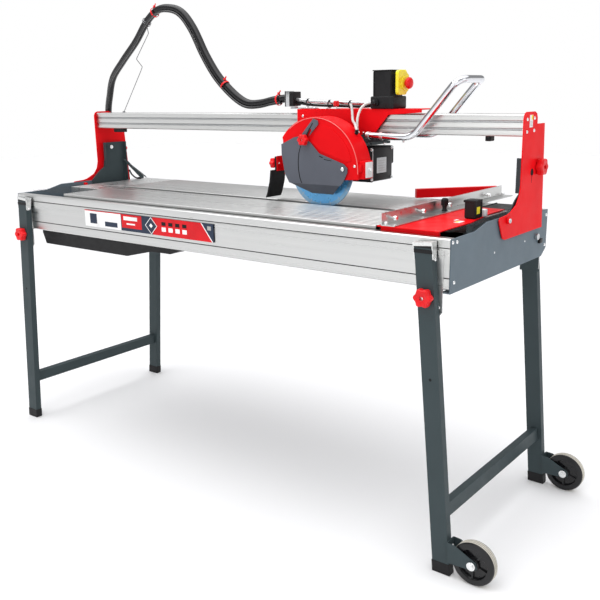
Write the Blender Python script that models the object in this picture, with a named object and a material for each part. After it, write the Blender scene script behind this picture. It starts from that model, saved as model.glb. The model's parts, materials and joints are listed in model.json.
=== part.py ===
"""Contractor's bridge tile saw on folding legs, in metres, +Z up, floor at Z = 0.

X runs along the cutting line, -Y is the operator's side. Every sub-part is one
named object; moving groups hang from an empty that stands on their joint's axis.
"""

import math

import bmesh
import bpy
from mathutils import Matrix, Vector

# Frame
FRAME_SHIFT = (-0.06475, -0.044, 0.0)  # brings the footprint's centre to the origin
HALF_LENGTH = 0.950
HALF_WIDTH = 0.320
RAIL_TOP = 0.9366
RAIL_BOTTOM = 0.8026
RAIL_WALL = 0.004
PLATE = 0.003
PLATE_BOTTOM = 0.792
TABLE_TOP = 0.946
TABLE_HALF = 0.700
SLOT_FRONT = -0.022
SLOT_REAR = 0.012
CLEAR = 0.0005

# Bridge
TILT_Y = 0.003
TILT_Z = 0.942
WEB_X = 0.9535
BEAM_FRONT = 0.095
BEAM_REAR = 0.172
BEAM_BOTTOM = 1.170
BEAM_TOP = 1.233

# Cutting head
BLADE_X = 0.3116
BLADE_Y = -0.006
BLADE_Z = 1.060
BLADE_RADIUS = 0.125
HEAD_X = 0.158
HEAD_Z = 1.135
COVER_X = 0.430
COVER_Z = 1.068

# Legs
LEG_SPLAY = math.radians(4.97)
LEG_X = 0.8946
LEG_Z = 0.784
LEG_FRONT = -0.3475
LEG_REAR = -0.3235
LEG_WIDTH = 0.0509
LEG_ABOVE = 0.1321
WHEEL_X = 1.057
WHEEL_RADIUS = 0.0625

# Gauge
GAUGE_X = 0.752
GAUGE_Y = 0.012

# Hose
HOSE_RADIUS = 0.014
HANDLE_RADIUS = 0.011


def clear_scene():
    for obj in list(bpy.data.objects):
        bpy.data.objects.remove(obj, do_unlink=True)


def paint(name, colour, roughness, metallic=0.0):
    material = bpy.data.materials.new(name)
    material.use_nodes = True
    shader = material.node_tree.nodes["Principled BSDF"]
    shader.inputs["Base Color"].default_value = (*colour, 1.0)
    shader.inputs["Roughness"].default_value = roughness
    shader.inputs["Metallic"].default_value = metallic
    return material


# Solids, all built in the assembled position


def finished(bm):
    bmesh.ops.recalc_face_normals(bm, faces=bm.faces[:])
    return bm


def on_axis(axis, u, v, w):
    """The point (u, v) of a section that stands at w along the axis."""
    if axis == "X":
        return Vector((w, u, v))
    if axis == "Y":
        return Vector((u, w, v))
    return Vector((u, v, w))


def prism(section, axis, start, end):
    bm = bmesh.new()
    near = [bm.verts.new(on_axis(axis, u, v, start)) for u, v in section]
    far = [bm.verts.new(on_axis(axis, u, v, end)) for u, v in section]
    bm.faces.new(near)
    bm.faces.new(far)
    for i in range(len(section)):
        j = (i + 1) % len(section)
        bm.faces.new((near[i], near[j], far[j], far[i]))
    return finished(bm)


def box(x0, x1, y0, y1, z0, z1):
    return prism([(x0, y0), (x1, y0), (x1, y1), (x0, y1)], "Z", z0, z1)


def rounded_box(x0, x1, y0, y1, z0, z1, radius, segments=2):
    bm = box(x0, x1, y0, y1, z0, z1)
    bmesh.ops.bevel(
        bm,
        geom=bm.edges[:],
        offset=radius,
        segments=segments,
        profile=0.5,
        affect="EDGES",
    )
    return finished(bm)


def turned(profile, axis, centre, segments, closed=False):
    """Revolves (radius, height) points. A closed profile makes a ring with a bore."""
    bm = bmesh.new()
    rows = []
    for radius, height in profile:
        if radius < 1e-6:
            rows.append([bm.verts.new(on_axis(axis, *centre, height))])
            continue
        row = []
        for i in range(segments):
            angle = 2 * math.pi * i / segments
            u = centre[0] + radius * math.cos(angle)
            v = centre[1] + radius * math.sin(angle)
            row.append(bm.verts.new(on_axis(axis, u, v, height)))
        rows.append(row)
    pairs = list(zip(rows, rows[1:]))
    if closed:
        pairs.append((rows[-1], rows[0]))
    for one, two in pairs:
        for i in range(segments):
            j = (i + 1) % segments
            if len(one) == 1:
                bm.faces.new((one[0], two[j], two[i]))
            elif len(two) == 1:
                bm.faces.new((one[i], one[j], two[0]))
            else:
                bm.faces.new((one[i], one[j], two[j], two[i]))
    return finished(bm)


def rod(axis, centre, radius, start, end, segments=16):
    profile = [(0.0, start), (radius, start), (radius, end), (0.0, end)]
    return turned(profile, axis, centre, segments)


def smooth_line(route, spacing):
    """Points along a Catmull-Rom curve through the route."""
    points = [Vector(p) for p in route]
    ends = [2 * points[0] - points[1], *points, 2 * points[-1] - points[-2]]
    line = [points[0]]
    for a, b, c, d in zip(ends, ends[1:], ends[2:], ends[3:]):
        steps = max(1, round((c - b).length / spacing))
        for i in range(1, steps + 1):
            t = i / steps
            line.append(
                0.5
                * (
                    2 * b
                    + (c - a) * t
                    + (2 * a - 5 * b + 4 * c - d) * t * t
                    + (3 * b - a - 3 * c + d) * t * t * t
                )
            )
    return line


def bent_line(corners, radius, steps):
    """A line with each inner corner replaced by an arc-like bend."""
    points = [Vector(p) for p in corners]
    line = [points[0]]
    for before, corner, after in zip(points, points[1:], points[2:]):
        back = (before - corner).normalized() * radius
        ahead = (after - corner).normalized() * radius
        for i in range(steps + 1):
            t = i / steps
            line.append(corner + back * (1 - t) ** 2 + ahead * t**2)
    line.append(points[-1])
    return line


def swept(line, radius, sides):
    """A round bar along the line, with its section carried round without twist."""
    bm = bmesh.new()
    rows = []
    across = Vector((0.0, 1.0, 0.0))
    for i, point in enumerate(line):
        along = (line[min(i + 1, len(line) - 1)] - line[max(i - 1, 0)]).normalized()
        across = (across - along * across.dot(along)).normalized()
        other = along.cross(across)
        row = []
        for k in range(sides):
            angle = 2 * math.pi * k / sides
            offset = across * math.cos(angle) + other * math.sin(angle)
            row.append(bm.verts.new(point + offset * radius))
        rows.append(row)
    bm.faces.new(rows[0])
    bm.faces.new(rows[-1])
    for one, two in zip(rows, rows[1:]):
        for k in range(sides):
            j = (k + 1) % sides
            bm.faces.new((one[k], one[j], two[j], two[k]))
    return finished(bm)


def moved(bm, matrix):
    bmesh.ops.transform(bm, matrix=matrix, verts=bm.verts[:])
    return finished(bm)


def mirrored(section):
    return [(-u, v) for u, v in section]


# Objects


class Group:
    """An empty on a joint's axis, which the pieces of one moving body hang from."""

    def __init__(self, name, position, parent=None):
        self.position = Vector(position)
        self.empty = bpy.data.objects.new(name, None)
        bpy.context.scene.collection.objects.link(self.empty)
        if parent is None:
            self.empty.location = self.position + Vector(FRAME_SHIFT)
        else:
            self.empty.parent = parent.empty
            self.empty.location = self.position - parent.position


def helper(bm, collection):
    mesh = bpy.data.meshes.new("helper")
    bm.to_mesh(mesh)
    bm.free()
    obj = bpy.data.objects.new("helper", mesh)
    obj.hide_render = True
    obj.display_type = "WIRE"
    collection.objects.link(obj)
    return obj


def combined(shapes, cuts):
    """One mesh: the union of the shapes, less the cuts."""
    scene = bpy.context.scene.collection
    base = helper(shapes[0], scene)
    used = [base]
    for operation, others in (("UNION", shapes[1:]), ("DIFFERENCE", cuts)):
        for other in others:
            cutter = helper(other, scene)
            used.append(cutter)
            modifier = base.modifiers.new(operation.lower(), "BOOLEAN")
            modifier.operation = operation
            modifier.solver = "EXACT"
            modifier.object = cutter
    graph = bpy.context.evaluated_depsgraph_get()
    mesh = bpy.data.meshes.new_from_object(base.evaluated_get(graph))
    for obj in used:
        bpy.data.objects.remove(obj, do_unlink=True)
    return mesh


def piece(name, material, group, shapes, cuts=(), angle=35.0):
    """Makes the named object of one sub-part and hangs it from its group."""
    if len(shapes) == 1 and not cuts:
        mesh = bpy.data.meshes.new(name)
        shapes[0].to_mesh(mesh)
        shapes[0].free()
    else:
        mesh = combined(list(shapes), list(cuts))
        mesh.name = name
    mesh.transform(Matrix.Translation(-group.position))
    mesh.materials.clear()
    mesh.materials.append(material)
    mesh.shade_smooth()
    mesh.set_sharp_from_angle(angle=math.radians(angle))
    obj = bpy.data.objects.new(name, mesh)
    obj.parent = group.empty
    bpy.context.scene.collection.objects.link(obj)
    return obj


def hose_tube(name, material, group, line, radius):
    """A round bar along the line: a curve object with filled ends."""
    curve = bpy.data.curves.new(name, "CURVE")
    curve.dimensions = "3D"
    curve.bevel_depth = radius
    curve.bevel_resolution = 2
    curve.use_fill_caps = True
    spline = curve.splines.new("POLY")
    spline.points.add(len(line) - 1)
    for point, place in zip(spline.points, line):
        point.co = (*(place - group.position), 1.0)
    spline.use_smooth = True
    curve.materials.append(material)
    obj = bpy.data.objects.new(name, curve)
    obj.parent = group.empty
    bpy.context.scene.collection.objects.link(obj)
    return obj


# Frame pieces


def rail_section():
    """Open channel with a lip, and two shallow grooves on its outer face."""
    face = -HALF_WIDTH
    section = [(face + 0.024, RAIL_TOP), (face + 0.003, RAIL_TOP), (face, RAIL_TOP - 0.003)]
    for z in (0.9115, 0.8335):
        section += [
            (face, z + 0.0016),
            (face + 0.0018, z + 0.0008),
            (face + 0.0018, z - 0.0008),
            (face, z - 0.0016),
        ]
    inner = face + RAIL_WALL
    section += [
        (face, RAIL_BOTTOM + 0.003),
        (face + 0.003, RAIL_BOTTOM),
        (face + 0.035, RAIL_BOTTOM),
        (face + 0.035, RAIL_BOTTOM + RAIL_WALL),
        (inner, RAIL_BOTTOM + RAIL_WALL),
        (inner, RAIL_TOP - RAIL_WALL),
        (face + 0.024, RAIL_TOP - RAIL_WALL),
    ]
    return section


def leg_bracket(side, flip):
    """The plate that a leg turns on: riveted to the rail, with a lug below it."""
    x = side * LEG_X
    low = [
        (x - 0.026, 0.742),
        (x - 0.018, 0.733),
        (x + 0.030, 0.733),
        (x + 0.036, 0.742),
        (x + 0.036, 0.905),
        (x - 0.026, 0.905),
    ]
    if side < 0:
        low = [(2 * x - u, v) for u, v in low]
    return prism(low, "Y", flip * 0.3232, flip * 0.3192)


def front_rail(frame, material):
    bar = prism(rail_section(), "X", -HALF_LENGTH + 0.0035, HALF_LENGTH - 0.0035)
    holes = [rod("Y", (s * LEG_X, LEG_Z), 0.0056, -0.33, -0.30) for s in (-1, 1)]
    piece("front_rail", material, frame, [bar, leg_bracket(-1, -1), leg_bracket(1, -1)], holes)


def rear_rail(frame, material):
    section = mirrored(rail_section())
    bar = prism(section, "X", -HALF_LENGTH + 0.0035, HALF_LENGTH - 0.0035)
    shapes = [bar, leg_bracket(-1, 1), leg_bracket(1, 1)]
    for side in (-1, 1):
        centre = (side * LEG_X, LEG_Z)
        profile = [(0, 0.3200), (0.005, 0.3200), (0.005, 0.3480)]
        profile += [(0.010, 0.3480), (0.010, 0.3540), (0, 0.3540)]
        shapes.append(turned(profile, "Y", centre, 12))
    piece("rear_rail", material, frame, shapes)


def side_plate(frame, material, side):
    outer = side * HALF_LENGTH
    inner = side * (HALF_LENGTH - PLATE)
    outline = [
        (-0.3195, PLATE_BOTTOM),
        (0.285, PLATE_BOTTOM),
        (0.3195, 0.815),
        (0.3195, RAIL_TOP),
        (0.085, RAIL_TOP),
        (0.070, 0.954),
        (-0.115, 0.954),
        (-0.185, 0.9375),
        (-0.3195, RAIL_TOP),
    ]
    plate = prism(outline, "X", inner, outer)
    ends = sorted((side * (HALF_LENGTH - 0.001), side * (HALF_LENGTH - 0.028)))
    flange = box(*ends, -0.3185, 0.284, PLATE_BOTTOM, PLATE_BOTTOM + PLATE)
    hole = rod("X", (TILT_Y, TILT_Z), 0.0066, side * 0.93, side * 0.96)
    name = "side_plate_right" if side > 0 else "side_plate_left"
    piece(name, material, frame, [plate, flange], [hole])


def table(frame, material, name, front, rear, grooves):
    """Ribbed aluminium deck on two skirts."""
    low = TABLE_TOP - 0.020
    under = TABLE_TOP - 0.004
    section = [(front, low), (front, TABLE_TOP - 0.001), (front + 0.001, TABLE_TOP)]
    pitch = (rear - front - 0.012) / grooves
    for i in range(grooves):
        y = front + 0.006 + pitch * (i + 0.5)
        section += [
            (y - 0.0025, TABLE_TOP),
            (y - 0.0018, TABLE_TOP - 0.0012),
            (y + 0.0018, TABLE_TOP - 0.0012),
            (y + 0.0025, TABLE_TOP),
        ]
    section += [
        (rear - 0.001, TABLE_TOP),
        (rear, TABLE_TOP - 0.001),
        (rear, low),
        (rear - 0.003, low),
        (rear - 0.003, under),
        (front + 0.003, under),
        (front + 0.003, low),
    ]
    piece(name, material, frame, [prism(section, "X", -TABLE_HALF, TABLE_HALF)])


def cross_plate(frame, material, side):
    """Folded plate between the rails that carries the tables' ends."""
    def span(a, b):
        return sorted((side * a, side * b))

    ledge = box(*span(0.660, 0.708), -0.3150, 0.3150, 0.9222, 0.9252)
    web = box(*span(0.705, 0.708), -0.3150, 0.3150, 0.885, 0.9240)
    riser = box(*span(0.705, 0.708), -0.111, 0.2945, 0.920, 0.9450)
    cover = box(*span(0.705, 0.887), -0.111, 0.2945, 0.9420, 0.9452)
    outer = box(*span(0.884, 0.887), -0.111, 0.2945, 0.912, 0.9440)
    face = box(*span(0.706, 0.886), -0.111, -0.108, 0.915, 0.9440)
    name = "cross_plate_right" if side > 0 else "cross_plate_left"
    piece(name, material, frame, [ledge, web, riser, cover, outer, face])


def tower(frame, material, side):
    """Grey bracket inside the side plate, with a stay to the rear rail."""
    def span(a, b):
        return sorted((side * a, side * b))

    outline = [
        (0.040, 0.900),
        (0.040, 0.957),
        (0.078, 0.990),
        (0.105, 1.005),
        (0.112, 1.040),
        (0.112, 1.108),
        (0.222, 1.108),
        (0.222, 0.900),
    ]
    web = prism(outline, "X", *span(0.9405, 0.9440))
    rear = box(*span(0.924, 0.943), 0.219, 0.222, 0.902, 1.108)
    front = box(*span(0.928, 0.943), 0.112, 0.115, 1.006, 1.108)
    x0, x1 = span(0.926, 0.929)
    stay = prism(
        [(0.200, 1.032), (0.216, 1.032), (0.312, 0.951), (0.312, 0.9375), (0.300, 0.9375)],
        "X",
        x0,
        x1,
    )
    name = "tower_right" if side > 0 else "tower_left"
    piece(name, material, frame, [web, rear, front, stay])


def tray_outline(wall):
    """Side view of the tray, shrunk by the wall's thickness."""
    top = 0.870 if wall == 0 else 0.890
    return [
        (-0.860 + wall, top),
        (-0.860 + wall, 0.786),
        (-0.841 + wall, 0.742 + wall),
        (-0.358 - wall / 2, 0.743 + wall),
        (-0.227 - wall / 2, 0.773 + wall),
        (-0.132 - wall / 2, 0.774 + wall),
        (-0.066 - wall / 2, 0.796 + wall),
        (0.860 - wall, 0.799 + wall),
        (0.860 - wall, top),
    ]


def water_tray(frame, material):
    wall = 0.003
    body = prism(tray_outline(0), "Y", -0.2835, 0.2835)
    inside = prism(tray_outline(wall), "Y", -0.2835 + wall, 0.2835 - wall)
    shapes = [body]
    for side in (-1, 1):
        y0, y1 = sorted((side * 0.2820, side * 0.3130))
        shapes.append(box(-0.855, 0.855, y0, y1, 0.8070, 0.8100))
    piece("water_tray", material, frame, shapes, [inside])


def water_pump(frame, material):
    body = rounded_box(-0.665, -0.585, 0.070, 0.130, 0.7462, 0.800, 0.006)
    outlet = rod("Z", (-0.640, 0.100), 0.008, 0.790, 0.822, 12)
    grille = rounded_box(-0.595, -0.570, 0.078, 0.122, 0.7470, 0.782, 0.003, 1)
    piece("water_pump", material, frame, [body, outlet, grille])


# Gauge pieces


def gauge_base(group, material):
    outline = [
        (0.715, -0.303),
        (0.905, -0.303),
        (0.905, -0.120),
        (0.878, 0.050),
        (0.878, 0.160),
        (0.800, 0.160),
        (0.745, 0.060),
        (0.715, -0.200),
    ]
    plate = prism(outline, "Z", 0.9468, 0.9498)
    tongue = box(0.722, 0.900, -0.2945, -0.2865, 0.926, 0.9480)
    piece("gauge_base", material, group, [plate, tongue])


def gauge_clamp_box(group, material):
    body = rounded_box(0.858, 0.892, -0.072, -0.030, 0.9503, 1.002, 0.003, 1)
    piece("gauge_clamp_box", material, group, [body])


def gauge_fence(group, material):
    section = [
        (0.727, 0.9503),
        (0.772, 0.9503),
        (0.772, 0.9533),
        (0.7305, 0.9533),
        (0.7305, 0.984),
        (0.727, 0.984),
    ]
    bar = prism(section, "Y", -0.303, 0.460)
    hole = rod("Z", (GAUGE_X, GAUGE_Y), 0.0034, 0.945, 0.958, 12)
    piece("gauge_fence", material, group, [bar], [hole])


def gauge_knob(group, material):
    profile = [
        (0, 0.9505),
        (0.003, 0.9505),
        (0.003, 0.9537),
        (0.008, 0.9537),
        (0.0065, 0.962),
        (0.0085, 0.970),
        (0.0095, 0.984),
        (0.0080, 0.991),
        (0, 0.992),
    ]
    piece("gauge_knob", material, group, [turned(profile, "Z", (GAUGE_X, GAUGE_Y), 14)])


def gauge_arm(group, material):
    """Channel-shaped square that reaches from the fence's far end over the table."""
    tip = Vector((0.525, 0.235))
    root = Vector((0.7188, 0.4446))
    along = (root - tip).normalized()
    side = Vector((-along.y, along.x))
    corners = [tip - side * 0.010, root - side * 0.010, root + side * 0.010, tip + side * 0.010]
    block = prism([tuple(c) for c in corners], "Z", 0.9535, 0.983)
    inner = [
        tip - side * 0.0075 + along * 0.003,
        root - side * 0.0075 + along * 0.02,
        root + side * 0.0075 + along * 0.02,
        tip + side * 0.0075 + along * 0.003,
    ]
    hollow = prism([tuple(c) for c in inner], "Z", 0.940, 0.9805)
    piece("gauge_arm", material, group, [block], [hollow])


# Bridge pieces


def tilt_knob_centre(side):
    """The left knob stands further back, clear of the hose's lower end."""
    return (0.205, 1.077) if side > 0 else (0.232, 1.077)


def upright(group, material, side):
    outline = [
        (0.084, 1.222),
        (0.090, 1.234),
        (0.102, 1.239),
        (0.162, 1.239),
        (0.176, 1.233),
        (0.182, 1.221),
        (0.182, 1.2035),
        (0.238, 1.2035),
        (0.259, 0.889),
        (-0.010, 0.889),
        (-0.024, 0.894),
        (-0.033, 0.908),
        (-0.048, 0.937),
        (-0.052, 0.948),
        (-0.044, 0.956),
        (0.004, 0.959),
        (0.022, 0.963),
        (0.060, 0.980),
        (0.077, 1.002),
        (0.085, 1.030),
    ]
    web = prism(outline, "X", side * WEB_X, side * (WEB_X + PLATE))
    profile = [(0, side * 0.934), (0.006, side * 0.934), (0.006, side * 0.958)]
    profile += [(0.010, side * 0.958), (0.010, side * 0.964), (0, side * 0.964)]
    pin = turned(profile, "X", (TILT_Y, TILT_Z), 14)
    shapes = [web, pin]
    keyhole = (0.160, 1.065) if side > 0 else (0.185, 1.059)
    cuts = [rod("X", keyhole, 0.007, side * 0.94, side * 0.97, 12)]
    cuts.append(rod("X", tilt_knob_centre(side), 0.0042, side * 0.94, side * 0.97, 12))
    if side < 0:
        for z in (1.205, 1.115):
            shapes.append(box(-0.990, -WEB_X - 0.001, 0.196, 0.199, z - 0.010, z + 0.010))
            shapes.append(box(-0.990, -WEB_X - 0.001, 0.159, 0.162, z - 0.010, z + 0.010))
    name = "upright_right" if side > 0 else "upright_left"
    piece(name, material, group, shapes, cuts)


def beam(group, material):
    """Hollow box beam with two shallow grooves along the front and rear faces."""
    section = [(BEAM_FRONT + 0.003, BEAM_TOP), (BEAM_FRONT, BEAM_TOP - 0.003)]
    for z in (1.212, 1.190):
        section += [
            (BEAM_FRONT, z + 0.004),
            (BEAM_FRONT + 0.003, z + 0.002),
            (BEAM_FRONT + 0.003, z - 0.002),
            (BEAM_FRONT, z - 0.004),
        ]
    section += [
        (BEAM_FRONT, BEAM_BOTTOM + 0.003),
        (BEAM_FRONT + 0.003, BEAM_BOTTOM),
        (BEAM_REAR - 0.003, BEAM_BOTTOM),
        (BEAM_REAR, BEAM_BOTTOM + 0.003),
        (BEAM_REAR, BEAM_TOP - 0.003),
        (BEAM_REAR - 0.003, BEAM_TOP),
    ]
    bar = prism(section, "X", -WEB_X + CLEAR, WEB_X - CLEAR)
    hollow = prism(
        [
            (BEAM_FRONT + 0.007, BEAM_BOTTOM + 0.004),
            (BEAM_REAR - 0.004, BEAM_BOTTOM + 0.004),
            (BEAM_REAR - 0.004, BEAM_TOP - 0.004),
            (BEAM_FRONT + 0.007, BEAM_TOP - 0.004),
        ],
        "X",
        -0.97,
        0.97,
    )
    piece("beam", material, group, [bar], [hollow])


def lobed(radius, depth, lobes, centre, axis, start, end, points=5):
    """A grip knob's wavy outline, extruded along the axis."""
    section = []
    for i in range(lobes * points):
        angle = 2 * math.pi * i / (lobes * points)
        r = radius - depth * (0.5 - 0.5 * math.cos(lobes * angle))
        section.append((centre[0] + r * math.cos(angle), centre[1] + r * math.sin(angle)))
    return prism(section, axis, start, end)


def tilt_knob(group, material, side):
    centre = tilt_knob_centre(side)
    grip = lobed(0.0265, 0.005, 6, centre, "X", side * 0.9580, side * 0.9790, 4)
    stud = rod("X", centre, 0.0038, side * 0.9455, side * 0.9600, 12)
    name = "tilt_knob_right" if side > 0 else "tilt_knob_left"
    piece(name, material, group, [grip, stud])


def travel_stop(group, material, name, start, end):
    pad = rounded_box(start, end, 0.118, 0.146, 1.1535, BEAM_BOTTOM - CLEAR, 0.002, 1)
    piece(name, material, group, [pad])


def hose_route():
    return [
        (-0.975, 0.179, 1.060),
        (-0.975, 0.179, 1.150),
        (-0.975, 0.179, 1.235),
        (-0.950, 0.172, 1.300),
        (-0.905, 0.160, 1.375),
        (-0.820, 0.148, 1.440),
        (-0.722, 0.140, 1.512),
        (-0.645, 0.134, 1.582),
        (-0.575, 0.130, 1.620),
        (-0.505, 0.128, 1.624),
        (-0.437, 0.126, 1.603),
        (-0.377, 0.124, 1.543),
        (-0.318, 0.122, 1.448),
        (-0.262, 0.120, 1.375),
        (-0.207, 0.118, 1.325),
        (-0.150, 0.116, 1.286),
        (-0.100, 0.114, 1.267),
        (-0.040, 0.112, 1.268),
        (0.020, 0.110, 1.278),
        (0.083, 0.110, 1.2845),
    ]


def power_hose(group, material):
    hose_tube("power_hose", material, group, smooth_line(hose_route(), 0.035), HOSE_RADIUS)


def hose_support_wire(group, material):
    """Spring wire from the beam, with a zigzag and an open ring round the hose."""
    corners = [
        (-0.850, 0.160, BEAM_TOP + 2 * CLEAR),
        (-0.716, 0.160, 1.4140),
        (-0.750, 0.160, 1.4460),
        (-0.632, 0.128, 1.5380),
    ]
    line = bent_line(corners, 0.006, 3)
    centre = Vector((-0.645, 0.134, 1.582))
    along = Vector((0.68, -0.05, 0.73)).normalized()
    one = Vector((0.0, 1.0, 0.0)) - along * along.y
    one.normalize()
    two = along.cross(one)
    for i in range(12):
        angle = math.radians(250 + 25 * i)
        ring = one * math.cos(angle) + two * math.sin(angle)
        line.append(centre + ring * 0.0185 + along * (0.0010 * i - 0.006))
    piece("hose_support_wire", material, group, [swept(line, 0.0016, 6)])


# Carriage pieces


def carriage_body(group, material):
    """Folded sheet over the beam, with cheeks for the head's hinge and roller pins."""
    front_outline = [
        (0.141, 1.2480),
        (0.625, 1.2480),
        (0.625, 1.237),
        (0.506, 1.230),
        (0.455, 1.172),
        (0.472, 1.152),
        (0.185, 1.150),
        (0.176, 1.122),
        (0.141, 1.122),
    ]
    front = prism(front_outline, "Y", 0.0860, 0.0890)
    top = box(0.141, 0.625, 0.0865, 0.1840, 1.2450, 1.2480)
    back_top = box(0.141, 0.350, 0.1820, 0.2150, 1.2450, 1.2480)
    back_outline = [
        (0.141, 1.2475),
        (0.350, 1.2475),
        (0.350, 1.160),
        (0.185, 1.150),
        (0.176, 1.122),
        (0.141, 1.122),
    ]
    back = prism(back_outline, "Y", 0.2120, 0.2150)
    strap = box(0.141, 0.180, 0.0870, 0.2140, 1.1530, 1.1560)
    shapes = [front, top, back_top, back, strap]
    for x in (0.200, 0.320):
        shapes.append(rod("Z", (x, 0.1895), 0.0036, 1.178, 1.2465, 12))
    holes = [rod("Y", (HEAD_X, HEAD_Z), 0.0060, 0.07, 0.23, 12)]
    piece("carriage_body", material, group, shapes, holes)


def guide_roller(group, material, name, x):
    profile = [
        (0.0041, 1.184),
        (0.0155, 1.184),
        (0.0165, 1.187),
        (0.0165, 1.223),
        (0.0155, 1.226),
        (0.0041, 1.226),
    ]
    piece(name, material, group, [turned(profile, "Z", (x, 0.1895), 20, closed=True)])


def switch_box(group, material):
    case = rounded_box(0.449, 0.516, 0.084, 0.156, 1.280, 1.366, 0.004)
    base = rounded_box(0.441, 0.527, 0.080, 0.162, 1.2484, 1.287, 0.004)
    piece("switch_box", material, group, [case, base])


def switch_cover(group, material):
    cover = rounded_box(0.5275, 0.5400, 0.090, 0.160, 1.290, 1.366, 0.005)
    hole = rod("X", (0.130, 1.326), 0.0085, 0.52, 0.55, 16)
    piece("switch_cover", material, group, [cover], [hole])


def stop_button(group, material):
    profile = [
        (0, 0.5290),
        (0.0078, 0.5290),
        (0.0078, 0.5470),
        (0.0165, 0.5490),
        (0.0180, 0.5540),
        (0.0150, 0.5600),
        (0.0080, 0.5630),
        (0, 0.5636),
    ]
    piece("stop_button", material, group, [turned(profile, "X", (0.130, 1.326), 20)])


def hose_carrier(group, material):
    """Clamp block for the hose's end, and the tube that takes the leads on."""
    block = rounded_box(0.086, 0.122, 0.088, 0.134, 1.256, 1.308, 0.004, 1)
    foot = box(0.100, 0.205, 0.100, 0.122, 1.2484, 1.2520)
    neck = box(0.100, 0.118, 0.101, 0.121, 1.2500, 1.262)
    line = bent_line(
        [(0.118, 0.111, 1.279), (0.200, 0.111, 1.2715), (0.438, 0.111, 1.2645)], 0.03, 3
    )
    tube = swept(line, 0.0065, 10)
    piece("hose_carrier", material, group, [block, foot, neck, tube])


def lock_knob(group, material):
    centre = (0.300, 0.0930)
    grip = lobed(0.0105, 0.002, 6, centre, "Z", 1.2560, 1.2740, 3)
    stem = rod("Z", centre, 0.0050, 1.2486, 1.2580, 12)
    piece("lock_knob", material, group, [grip, stem])


# Head pieces


def head_arm(group, material):
    """Plate under the beam that carries motor, guard and handle."""
    plate = box(0.190, 0.440, 0.0240, 0.2060, 1.1340, 1.1420)
    neck = box(0.150, 0.200, 0.0900, 0.2110, 1.1300, 1.1400)
    profile = [(0, 0.0800), (0.0055, 0.0800), (0.0055, 0.0895), (0.0095, 0.0895)]
    profile += [(0.0095, 0.2115), (0.0055, 0.2115), (0.0055, 0.2210), (0, 0.2210)]
    barrel = turned(profile, "Y", (HEAD_X, HEAD_Z), 14)
    shapes = [plate, neck, barrel]
    for y0, y1 in ((0.0745, 0.0795), (0.1900, 0.1950)):
        outline = [(0.362, 1.136), (0.520, 1.152), (0.520, 1.176), (0.440, 1.176), (0.362, 1.150)]
        shapes.append(prism(outline, "Y", y0, y1))
    sheet_slot = box(0.215, 0.450, 0.0845, 0.0905, 1.125, 1.150)
    piece("head_arm", material, group, shapes, [sheet_slot])


def handle(group, material):
    corners = [
        (0.440, 0.0620, 1.1660),
        (0.608, 0.0620, 1.1630),
        (0.757, 0.0620, 1.3330),
        (0.790, 0.0620, 1.3300),
    ]
    front = bent_line(corners[:3], 0.030, 5)
    front = front[:-1]
    far = [Vector((p.x, 0.2690 - p.y, p.z)) for p in reversed(front)]
    bend = [Vector((0.736, 0.0620, 1.3090)), Vector((0.756, 0.0680, 1.3270))]
    bend.append(Vector((0.770, 0.0880, 1.3330)))
    back = [Vector((p.x, 0.2690 - p.y, p.z)) for p in reversed(bend)]
    line = [*front, *bend, *back, *far]
    piece("handle", material, group, [swept(line, HANDLE_RADIUS, 12)])


def motor_housing(group, material):
    x0, x1, y0, y1, z0, z1 = 0.205, 0.450, 0.068, 0.205, 1.016, 1.128
    case = rounded_box(x0, x1, y0, y1, z0, z1, 0.006)
    top = rounded_box(x0 + 0.02, x1 - 0.004, 0.199, 0.222, 1.066, z1 - 0.002, 0.006)
    core = box(x0 + 0.006, x1 - 0.006, y0 + 0.006, y1 - 0.007, z0 + 0.006, z1 - 0.006)
    bore = rod("Y", (BLADE_X, BLADE_Z), 0.020, 0.050, 0.100, 20)
    flange = turned(
        [(0.0125, 0.030), (0.034, 0.030), (0.040, 0.070), (0.0125, 0.070)],
        "Y",
        (BLADE_X, BLADE_Z),
        20,
        closed=True,
    )
    piece("motor_housing", material, group, [case, top, flange], [core, bore])


def motor_rotor(group, material):
    """Shaft with its armature and the blade's inner flange."""
    profile = [
        (0, -0.0280),
        (0.0080, -0.0280),
        (0.0085, -0.0265),
        (0.0085, -0.0076),
        (0.0120, -0.0076),
        (0.0120, -0.0043),
        (0.0280, -0.0043),
        (0.0280, 0.0020),
        (0.0100, 0.0040),
        (0.0100, 0.0950),
        (0.0330, 0.0950),
        (0.0330, 0.1800),
        (0.0080, 0.1800),
        (0.0080, 0.1960),
        (0, 0.1960),
    ]
    shaft = turned(profile, "Y", (BLADE_X, BLADE_Z), 20)
    piece("motor_rotor", material, group, [shaft])


def blade(group, material):
    """Disc with cooling slots let into its rim."""
    profile = [
        (0.0127, BLADE_Y - 0.0010),
        (0.1130, BLADE_Y - 0.0010),
        (0.1140, BLADE_Y - 0.0013),
        (BLADE_RADIUS, BLADE_Y - 0.0013),
        (BLADE_RADIUS, BLADE_Y + 0.0013),
        (0.1140, BLADE_Y + 0.0013),
        (0.1130, BLADE_Y + 0.0010),
        (0.0127, BLADE_Y + 0.0010),
    ]
    disc = turned(profile, "Y", (BLADE_X, BLADE_Z), 48, closed=True)
    piece("blade", material, group, [disc])


def blade_flange(group, material):
    profile = [(0, -0.0078), (0.0280, -0.0078), (0.0280, -0.0100), (0.0200, -0.0140), (0, -0.0140)]
    disc = turned(profile, "Y", (BLADE_X, BLADE_Z), 20)
    nut = rod("Y", (BLADE_X, BLADE_Z), 0.0150, -0.0230, -0.0130, 6)
    bore = rod("Y", (BLADE_X, BLADE_Z), 0.0090, -0.0300, -0.0050, 20)
    piece("blade_flange", material, group, [disc, nut], [bore])


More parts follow.
